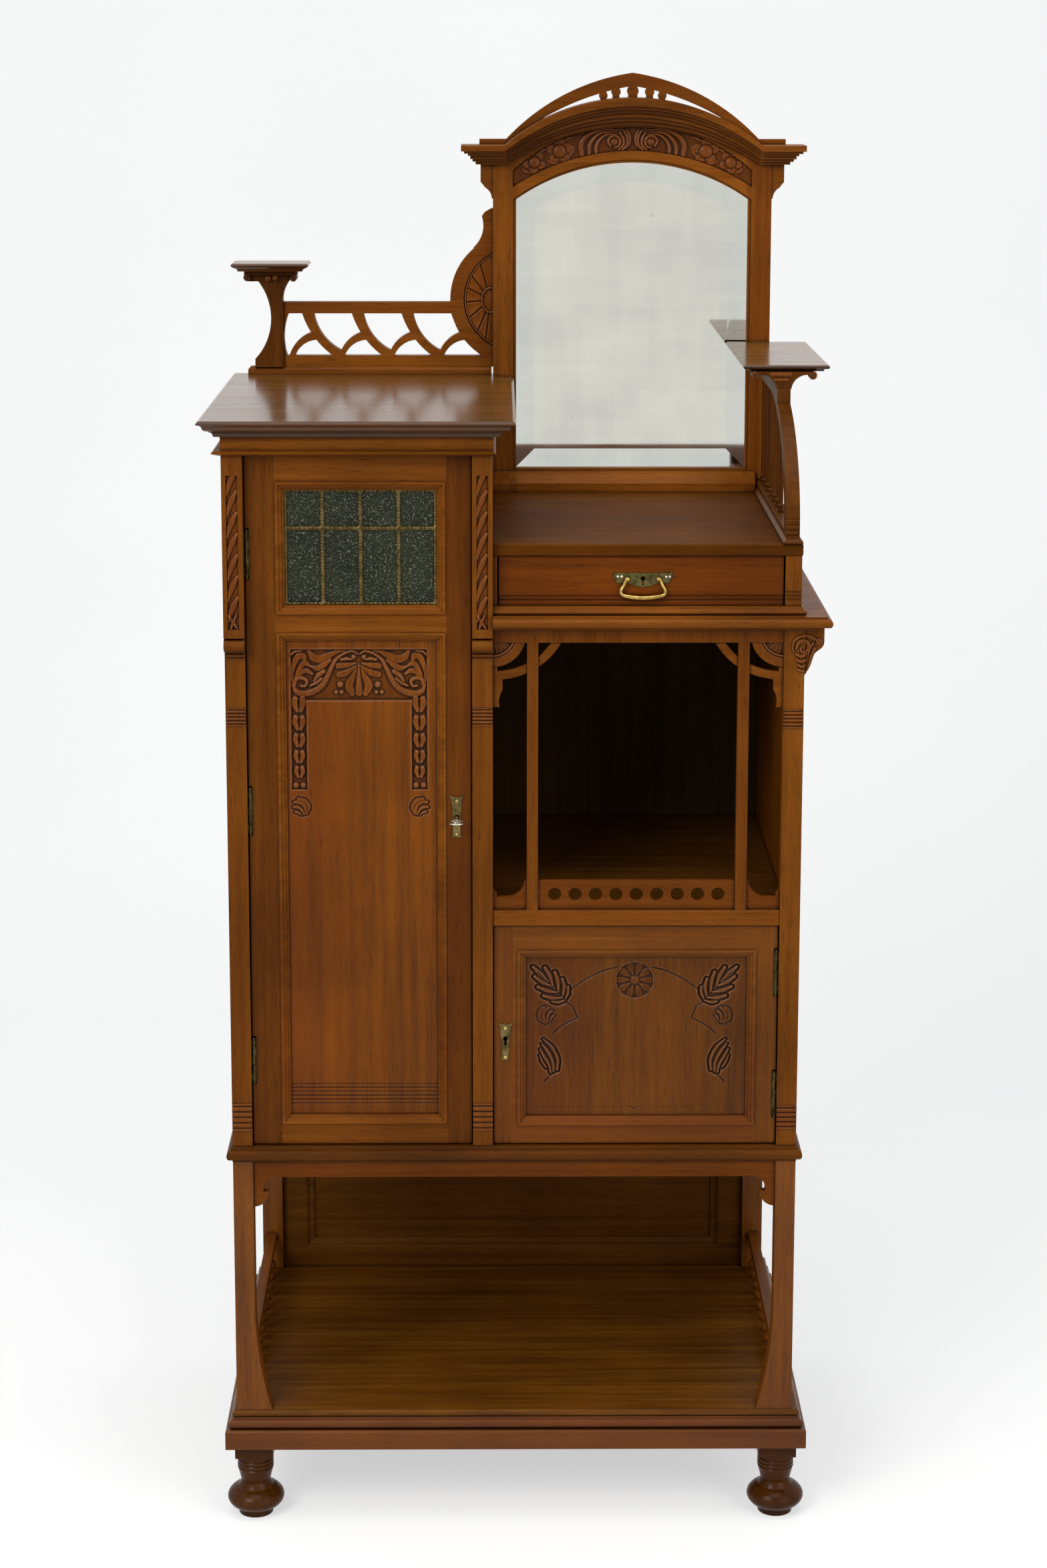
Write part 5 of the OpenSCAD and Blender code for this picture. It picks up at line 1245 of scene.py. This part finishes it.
def carveCapitals():
    for name, capital in capitals.items():
        strokes = []
        for centre, radius, way in capital["volutes"]:
            strokes += [spiral(centre, radius, way=way), knob(*centre, radius * 0.24)]
        strokes += [knob(*centre, radius) for centre, radius in capital["roundels"]]
        strokes += [([(a, z), (b, z)], [half, half]) for (a, b), z, half in capital["rolls"]]
        places = np.array([point for stroke in strokes for point in stroke[0]])
        x, z = zip(places.min(axis=0) - 6, places.max(axis=0) + 6)
        label, face = "capital_carving_" + name, capital["face"]
        reliefPatch(label, x, z, 0.4, face, face + 0.3, [strokes], "cabinet", crown=1.7)


# rounded faces of the metal strips, with solder at their crossings
cames = {
    "upright": [134.25, 180.5, 226.75],
    "level": 1287.5,
    "x": (83.5, 277.5),
    "z": (1188.5, 1339.5),
    "sight": [(89.0, 272.0), (1194.0, 1334.0)],
    "face": 26.0,
    "half": 2.2,
    "joint": 3.5,
}


def solderCames():
    (left, right), (foot, head) = cames["sight"]
    uprights, levels = [left] + cames["upright"] + [right], (foot, cames["level"], head)
    half, face = [cames["half"]] * 2, cames["face"]
    bars = [([(x, foot), (x, head)], half) for x in uprights[1:-1]]
    bars += [([(left, z), (right, z)], half) for z in levels]
    bars += [([(x, foot), (x, head)], half) for x in (left, right)]
    joints = []
    for i, x in enumerate(uprights):
        for k, z in enumerate(levels):
            wobble = 0.4 * math.sin(5 * i + 3 * k)  # no two blobs of solder are the same
            points = [(x - 1 + wobble, z - 0.6), (x + 1, z + 0.7 - wobble)]
            joints.append((points, [cames["joint"] + wobble, cames["joint"] - 0.3]))
    x, z, back = cames["x"], cames["z"], face + 0.3
    for name, strokes, crown in (("rounded_cames", bars, 0.8), ("came_joints", joints, 1.15)):
        strips = reliefPatch(
            name, x, z, 0.6, face, back, [strokes], "tall_door", crown=crown, finish=cameBrass
        )


def roundBar(work, path, radii, up, sides=16):
    # a round bar along a smooth path that lies in the plane square to up; each end closed
    path, radius = alongCurve(path, radii, 96)
    up = np.array(up, float)
    rings = []
    for i, at in enumerate(path):
        along = path[min(i + 1, len(path) - 1)] - path[max(i - 1, 0)]
        side = np.cross(up, along / np.linalg.norm(along))
        turns = np.linspace(0, 2 * math.pi, sides, endpoint=False)
        ring = [spot(*(at + radius[i] * (math.cos(a) * side + math.sin(a) * up))) for a in turns]
        rings.append([work.verts.new(place) for place in ring])
    for one, two in zip(rings, rings[1:]):
        for k in range(sides):
            work.faces.new((one[k], one[(k + 1) % sides], two[(k + 1) % sides], two[k]))
    caps = [work.faces.new(ring) for ring in (rings[0][::-1], rings[-1])]
    bmesh.ops.poke(work, faces=caps)


def finishBars(name, work, finish, body):
    bmesh.ops.recalc_face_normals(work, faces=work.faces)
    data = bpy.data.meshes.new(name)
    work.to_mesh(data)
    work.free()
    piece = addPiece(name, data, finish, body)
    return piece


# the drawer's drop handle, thicker towards the middle of its bar, and the screws of its plate
handle = {
    "middle": (523.75, 1226.0),
    "y": 14.0,
    # half of its line, mm from the middle of the two posts
    "half": [
        (16.4, 0.3), (19.6, 1.0), (21.6, -2.4), (23.8, -7.6), (26.6, -12.6), (26.6, -17.4), (22.4, -20.2),
        (13.0, -21.9), (4.0, -22.6),
    ],
    "radii": [1.7, 2.3, 2.1, 2.1, 2.3, 2.6, 3.0, 3.1],
    "screws": [(-30.7, 2.8), (-25.9, 2.8), (28.2, 2.4), (32.4, 2.6)],
    "head": 1.8,
    "plateFace": 18.7,
}


def castHandle():
    x, z = handle["middle"]
    right = [(x + dx, handle["y"], z + dz) for dx, dz in handle["half"]]
    left = [(x - dx, handle["y"], z + dz) for dx, dz in handle["half"]]
    work = bmesh.new()
    roundBar(work, left + right[::-1], handle["radii"] + handle["radii"][::-1], (0, 1, 0))
    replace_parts(finishBars("drop_handle", work, polishedBrass, "drawer_bail"), "drawer_bail")
    heads = [knob(x + dx, z + dz, handle["head"]) for dx, dz in handle["screws"]]
    face, area = handle["plateFace"], ((x - 36, x + 36), (z - 3, z + 8))
    screws = reliefPatch(
        "plate_screws", *area, 0.3, face, face + 0.3, [heads], "drawer", crown=1.0, finish=screwMetal
    )


# the key in the tall door: a collared shank and a flat bow that lies level
keyShape = {
    "at": (296.5, 928.0),
    "shank": (-1.0, 52.0),
    "radii": [1.7, 2.1, 3.1, 2.2, 2.0, 3.2, 2.0, 2.0, 2.0, 2.0, 2.0],
    "bow": (9.0, 8.4),  # half width and half depth of the oval
    "bowMiddle": -9.6,
    "bar": 1.35,
    "curl": [(0.4, -1), (2.8, -4), (2.2, -7.5), (0.3, -8.6)],  # beside and in front of the shank's end
    "bit": (43.0, 49.0),
    "bitDrop": (1, 4, 8),
}


def forgeKey():
    x, z = keyShape["at"]
    front, back = keyShape["shank"]
    level, upright = (0, 0, 1), (0, 1, 0)
    work = bmesh.new()
    shank = [(x, front, z), (x, 0.5 * (front + back), z), (x, back, z)]
    roundBar(work, shank, keyShape["radii"], level)
    wide, deep = keyShape["bow"]
    around = np.linspace(0, 2 * math.pi, 25)
    oval = [(x + wide * math.sin(a), keyShape["bowMiddle"] + deep * math.cos(a), z) for a in around]
    roundBar(work, oval, [keyShape["bar"]] * 2, level)
    for side in (-1, 1):  # the bow's two inner curls
        curl = [(x + side * out, front + ahead, z) for out, ahead in keyShape["curl"]]
        roundBar(work, curl, [1.1, 0.8], level)
    middle = 0.5 * sum(keyShape["bit"])
    bit = [(x, middle, z - drop) for drop in keyShape["bitDrop"]]
    roundBar(work, bit, [1.1, 1.1], upright, sides=8)
    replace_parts(finishBars("bowed_key", work, screwMetal, "key"), "key")


# key plates cut from sheet brass: a flared head, a waist and a small foot
keyPlates = {  # height from the keyhole and half width, down the plate
    "tall": {
        "at": (296.5, 928.0),
        "node": "tall_escutcheon",
        "half": [
            (28.2, 9.4), (25.5, 8.2), (22.0, 6.6), (16.0, 6.2), (8.0, 5.6), (-6.0, 4.9), (-18.0, 4.6),
            (-22.5, 5.0), (-25.0, 6.6),
        ],
    },
    "low": {
        "at": (356.5, 643.0),
        "node": "low_escutcheon",
        "half": [
            (21.0, 9.6), (18.6, 8.4), (15.0, 6.9), (8.0, 6.2), (0.0, 5.4), (-10.0, 4.9), (-20.0, 4.5),
            (-25.0, 4.6), (-27.5, 5.2),
        ],
    },
}
plateLook = {
    "door": 18.0,  # the door's face
    "thick": 1.2,
    "dip": 2.2,  # the notch in the plate's head
    "hole": 3.0,
    "slot": (1.3, -9.0),
    "pin": 2.0,
    "pins": (8.0, 3.0),  # down from the head and up from the foot
}


def cutSheet(name, rim, keyhole, front, finish, body, node):
    # a thin plate with soft edges, cut round the rim and round a keyhole
    x, z = keyhole
    radius, (wide, foot) = plateLook["hole"], plateLook["slot"]
    hole = [(x + radius * math.sin(a), z + radius * math.cos(a)) for a in np.linspace(-2.7, 2.7, 17)]
    hole += [(x + wide, z + foot), (x - wide, z + foot)]
    curve = bpy.data.curves.new(name, "CURVE")
    curve.dimensions, curve.fill_mode = "2D", "BOTH"
    curve.extrude, curve.bevel_depth, curve.offset = 0.4, 0.2, -0.2
    for loop in (rim, hole):
        line = curve.splines.new("POLY")
        line.points.add(len(loop) - 1)
        line.points.foreach_set("co", [value for u, v in loop for value in (u, v, 0, 1)])
        line.use_cyclic_u = True
    cut = bpy.data.objects.new(name, curve)
    data = bpy.data.meshes.new_from_object(cut)
    bpy.data.objects.remove(cut)
    bpy.data.curves.remove(curve)
    for point in data.vertices:
        u, v, h = point.co
        point.co = spot(u, front + 0.5 * plateLook["thick"] - h, v)
    data.materials.clear()
    plate = addPiece(name, data, finish, body, smooth=False)
    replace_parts(plate, node)


def cutKeyPlates():
    door = plateLook["door"]
    front = door - plateLook["thick"]
    for name, plate in keyPlates.items():
        x, z = plate["at"]
        body = name + "_door"
        top, foot = plate["half"][0][0], plate["half"][-1][0]
        dip = z + top - plateLook["dip"]
        rim = [(x + w, z + dz) for dz, w in plate["half"]]
        rim += [(x, z + foot - 0.6)] + [(x - w, z + dz) for dz, w in plate["half"][::-1]]
        rim += [(x - 4.0, dip), (x, dip - 0.5), (x + 4.0, dip)]
        cutSheet("key_plate_" + name, rim, (x, z), front, tonedBrass, body, plate["node"])
        down, up = plateLook["pins"]
        pins = [knob(x, z + dz, plateLook["pin"]) for dz in (top - down, foot + up)]
        area = ((x - 3, x + 3), (z + foot, z + top))
        reliefPatch(
            "plate_pins_" + name, *area, 0.3, front, door, [pins], body, crown=0.9, finish=polishedBrass
        )


# the drawer's plate, with horned ends and a dropped middle, and the posts that carry the handle
drawerPlate = {
    "middle": (523.75, 1226.0),
    # right half of its rim, mm from the middle
    "half": [
        (22.0, 7.6), (33.0, 7.4), (36.0, 9.2), (35.4, 5.6), (36.2, 1.5), (33.5, -1.2), (33.0, -4.4),
        (28.0, -5.2), (22.0, -4.4), (16.0, -5.6), (10.6, -8.8), (4.0, -9.5),
    ],
    "ends": (7.2, -10.4),  # the rim's top and foot on the middle line
    "front": 18.7,
    "posts": 18.4,
    "post": (19.8, 11.4),
    "postRadii": [3.4, 3.0, 2.2, 2.6, 3.0, 2.4, 1.0],
}


def cutDrawerPlate():
    x, z = drawerPlate["middle"]
    top, foot = drawerPlate["ends"]
    rim = [(x, z + top)] + [(x + w, z + dz) for w, dz in drawerPlate["half"]] + [(x, z + foot)]
    rim += [(x - w, z + dz) for w, dz in drawerPlate["half"][::-1]]
    cutSheet("drawer_key_plate", rim, (x, z + 1), drawerPlate["front"], plateBrass, "drawer", "drawer_plate")
    work = bmesh.new()
    root, tip = drawerPlate["post"]
    for side in (-1, 1):
        at = x + side * drawerPlate["posts"]
        post = [(at, root, z), (at, 0.5 * (root + tip), z), (at, tip, z)]
        roundBar(work, post, drawerPlate["postRadii"], (0, 0, 1))
    finishBars("handle_posts", work, polishedBrass, "drawer")


# a lipping glued along the front of the niche floor
lipping = {"inset": 0.2, "edge": 1.4, "fine": 0.4, "rise": 0.4, "base": 0.1, "round": 1.2}


def lipNicheFloor():
    low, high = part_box("niche_floor")
    inset, edge, fine = lipping["inset"], lipping["edge"], lipping["fine"]

    def lines(start, end, step):  # finer along the two rounded edges
        runs = [(start + inset, start + edge, fine), (start + edge, end - edge, step)]
        return gridLine(runs + [(end - edge, end - inset, fine)])

    xs = lines(low[0] / mm - plinth["left"], high[0] / mm - plinth["left"], 4)
    zs = lines(low[2] / mm, high[2] / mm, 2)
    x, z = np.meshgrid(xs, zs)
    rim = np.minimum(np.minimum(x - xs[0], xs[-1] - x), np.minimum(z - zs[0], zs[-1] - z))
    height = lipping["base"] + lipping["rise"] * np.clip(rim / lipping["round"], 0, 1) ** 0.5
    face = low[1] / mm - plinth["front"]
    board = carvedBoard("niche_lipping", xs, zs, height, face, face + 0.1, paleWalnut, "cabinet")


# reeds across the pilasters and the right post: the width, each band's lowest groove, spacing and count
pilasterReeds = [(528.0, 7.2, 5), (1047.0, 4.5, 5), (1130.0, 5.0, 2)]
reeds = {
    "left": ((14.6, 39.4), pilasterReeds),
    "centre": ((316.1, 340.9), pilasterReeds),
    "right": ((696.6, 721.4), [(529.0, 6.2, 5), (1044.0, 4.7, 5)]),
}
reedLook = {"face": 12.0, "rise": 1.6, "floor": 0.15, "step": 0.35, "groove": 0.35}


def cutReeds():
    face = reedLook["face"]
    for name, (width, bands) in reeds.items():
        xs = gridLine([(*width, 2.0)])
        for i, (first, pitch, count) in enumerate(bands):
            zs = gridLine([(first - pitch / 2, first + (count - 0.5) * pitch, reedLook["step"])])
            swell = np.clip(1.5 * np.abs(np.sin(np.pi * (zs - first) / pitch)) - 0.45, 0, 1) ** 0.6
            swell *= np.minimum(1, np.minimum(zs - zs[0], zs[-1] - zs) / 0.8)
            height = reedLook["floor"] + reedLook["rise"] * np.repeat(swell[:, None], len(xs), 1)
            shade = 0.9 * (height < reedLook["groove"])
            label = "reeds_%s_%d" % (name, i)
            board = carvedBoard(
                label, xs, zs, height, face, face + 0.1, carvedWalnut, "cabinet", shade=shade
            )


print("carving the panels")
carveTallPanel()
carveLowPanel()
carveRibbons()
carveHead()
carveShell()
carveFans()
carveCorbel()
grindPlate()
carveCapitals()
print("setting the metal")
solderCames()
castHandle()
forgeKey()
cutKeyPlates()
cutDrawerPlate()
lipNicheFloor()
cutReeds()


# camera, floor and light
print("setting the camera and the lamps")
cameraLook = {
    "place": (-0.0288, -3.8509, 1.8766),  # m
    "turn": (79.793, -0.071, -0.496),  # degrees
    "lens": 69.73,  # mm
    "sensor": 36.0,
    "shiftY": -0.1287,
}
studio = {
    "sweepWidth": 9.0,  # m
    "sweepFront": -5.5,
    "sweepBack": 3.2,
    "sweepRise": 5.0,
    "sweepBend": 1.4,
    "bendSteps": 12,
    "paper": "#cfcfce",
    "paperShade": "#cbcbcb",
    "glow": "#f4f6f8",
    "lift": 0.6,  # how much of the paper's white reaches the eye beyond what the lamps give
    "air": "#f9f9f8",
    "airLight": (0.3, 0.97),  # what the air gives the cabinet, and how bright the eye sees it
    "lampTint": (1.0, 0.985, 0.96),
}
lamps = [
    # name, place, aim, size m, watts
    ("key softbox, front left", (-2.0, -3.0, 3.0), (0.0, 0.0, 0.9), 1.8, 72),
    ("fill softbox, front right", (2.4, -2.8, 2.0), (0.0, 0.0, 0.9), 2.0, 30),
    ("overhead softbox", (0.0, -0.6, 3.6), (0.0, -0.1, 0.0), 2.4, 45),
]


def placeCamera():
    eye = bpy.data.objects.new("camera", bpy.data.cameras.new("camera"))
    bpy.context.collection.objects.link(eye)
    eye.location = cameraLook["place"]
    eye.rotation_euler = [math.radians(a) for a in cameraLook["turn"]]
    eye.data.lens = cameraLook["lens"]
    eye.data.sensor_width = cameraLook["sensor"]
    eye.data.shift_y = cameraLook["shiftY"]
    bpy.context.scene.camera = eye


def seenByEye(tree):
    # 1 for the camera, a reflection or a view through glass, 0 for the light that it sheds
    path = addNode(tree, "LightPath")
    seen = addNode(
        tree,
        "Math",
        {"operation": "MAXIMUM"},
        {0: path.outputs["Is Camera Ray"], 1: path.outputs["Is Glossy Ray"]},
    )
    return addNode(tree, "Math", {"operation": "MAXIMUM"}, {0: seen, 1: path.outputs["Is Transmission Ray"]})


def sweepMaterial():
    # Seamless paper, matt and almost white; it keeps the cabinet's shadow
    material, tree, shader = newMaterial("white paper sweep")
    at = addNode(tree, "TexCoord").outputs["Object"]
    cloud = addNode(tree, "TexNoise", {"Scale": 1.2, "Detail": 2.0}, {"Vector": at})
    stops = [(0.3, tone(studio["paperShade"])), (0.7, tone(studio["paper"]))]
    paper = addNode(tree, "ValToRGB", {"stops": stops}, {0: cloud})
    tree.links.new(paper.outputs[0], shader.inputs["Base Color"])
    shader.inputs["Roughness"].default_value = 0.95
    shader.inputs["Specular IOR Level"].default_value = 0.1
    lift = addNode(tree, "Math", {"operation": "MULTIPLY", 1: studio["lift"]}, {0: seenByEye(tree)})
    glow = addNode(tree, "Emission", {"Color": tone(studio["glow"])}, {"Strength": lift})
    both = addNode(tree, "AddShader", {}, {0: shader, 1: glow})
    out = [n for n in tree.nodes if n.type == "OUTPUT_MATERIAL"][0]
    tree.links.new(both.outputs[0], out.inputs["Surface"])
    return material


def buildSweep():
    # flat floor, a round bend and an upright back, from one profile
    bend = studio["sweepBend"]
    turn = studio["sweepBack"] - bend
    line = [(studio["sweepFront"], 0.0), (turn, 0.0)]
    for i in range(1, studio["bendSteps"] + 1):
        a = math.radians(90 * i / studio["bendSteps"])
        line.append((studio["sweepBack"] - bend * (1 - math.sin(a)), bend * (1 - math.cos(a))))
    line.append((studio["sweepBack"], studio["sweepRise"]))
    mesh = bmesh.new()
    half = studio["sweepWidth"] / 2
    rows = [[mesh.verts.new((x, y, z)) for x in (-half, half)] for y, z in line]
    for a, b in zip(rows, rows[1:]):
        mesh.faces.new((a[0], a[1], b[1], b[0])).smooth = True
    data = bpy.data.meshes.new("paper_sweep")
    mesh.to_mesh(data)
    mesh.free()
    data.materials.append(sweepMaterial())
    sweep = bpy.data.objects.new("paper_sweep", data)
    bpy.context.collection.objects.link(sweep)


def hangLamps():
    for name, place, aim, size, watts in lamps:
        lamp = bpy.data.lights.new(name, "AREA")
        lamp.shape = "SQUARE"
        lamp.size = size
        lamp.energy = watts
        lamp.color = studio["lampTint"]
        holder = bpy.data.objects.new(name, lamp)
        holder.location = place
        holder.rotation_euler = (Vector(aim) - Vector(place)).to_track_quat("-Z", "Y").to_euler()
        bpy.context.collection.objects.link(holder)


def fillAir():
    # the even light of a white room
    world = bpy.data.worlds.new("studio air")
    bpy.context.scene.world = world
    world.use_nodes = True
    air = world.node_tree
    air.nodes.clear()
    given, shown = studio["airLight"]
    strength = addNode(air, "MapRange", {3: given, 4: shown}, {0: seenByEye(air)})
    sky = addNode(air, "Background", {"Color": tone(studio["air"])}, {"Strength": strength})
    addNode(air, "OutputWorld", {}, {"Surface": sky})


placeCamera()
buildSweep()
hangLamps()
fillAir()
bpy.context.scene.view_settings.view_transform = "Standard"

print("done")
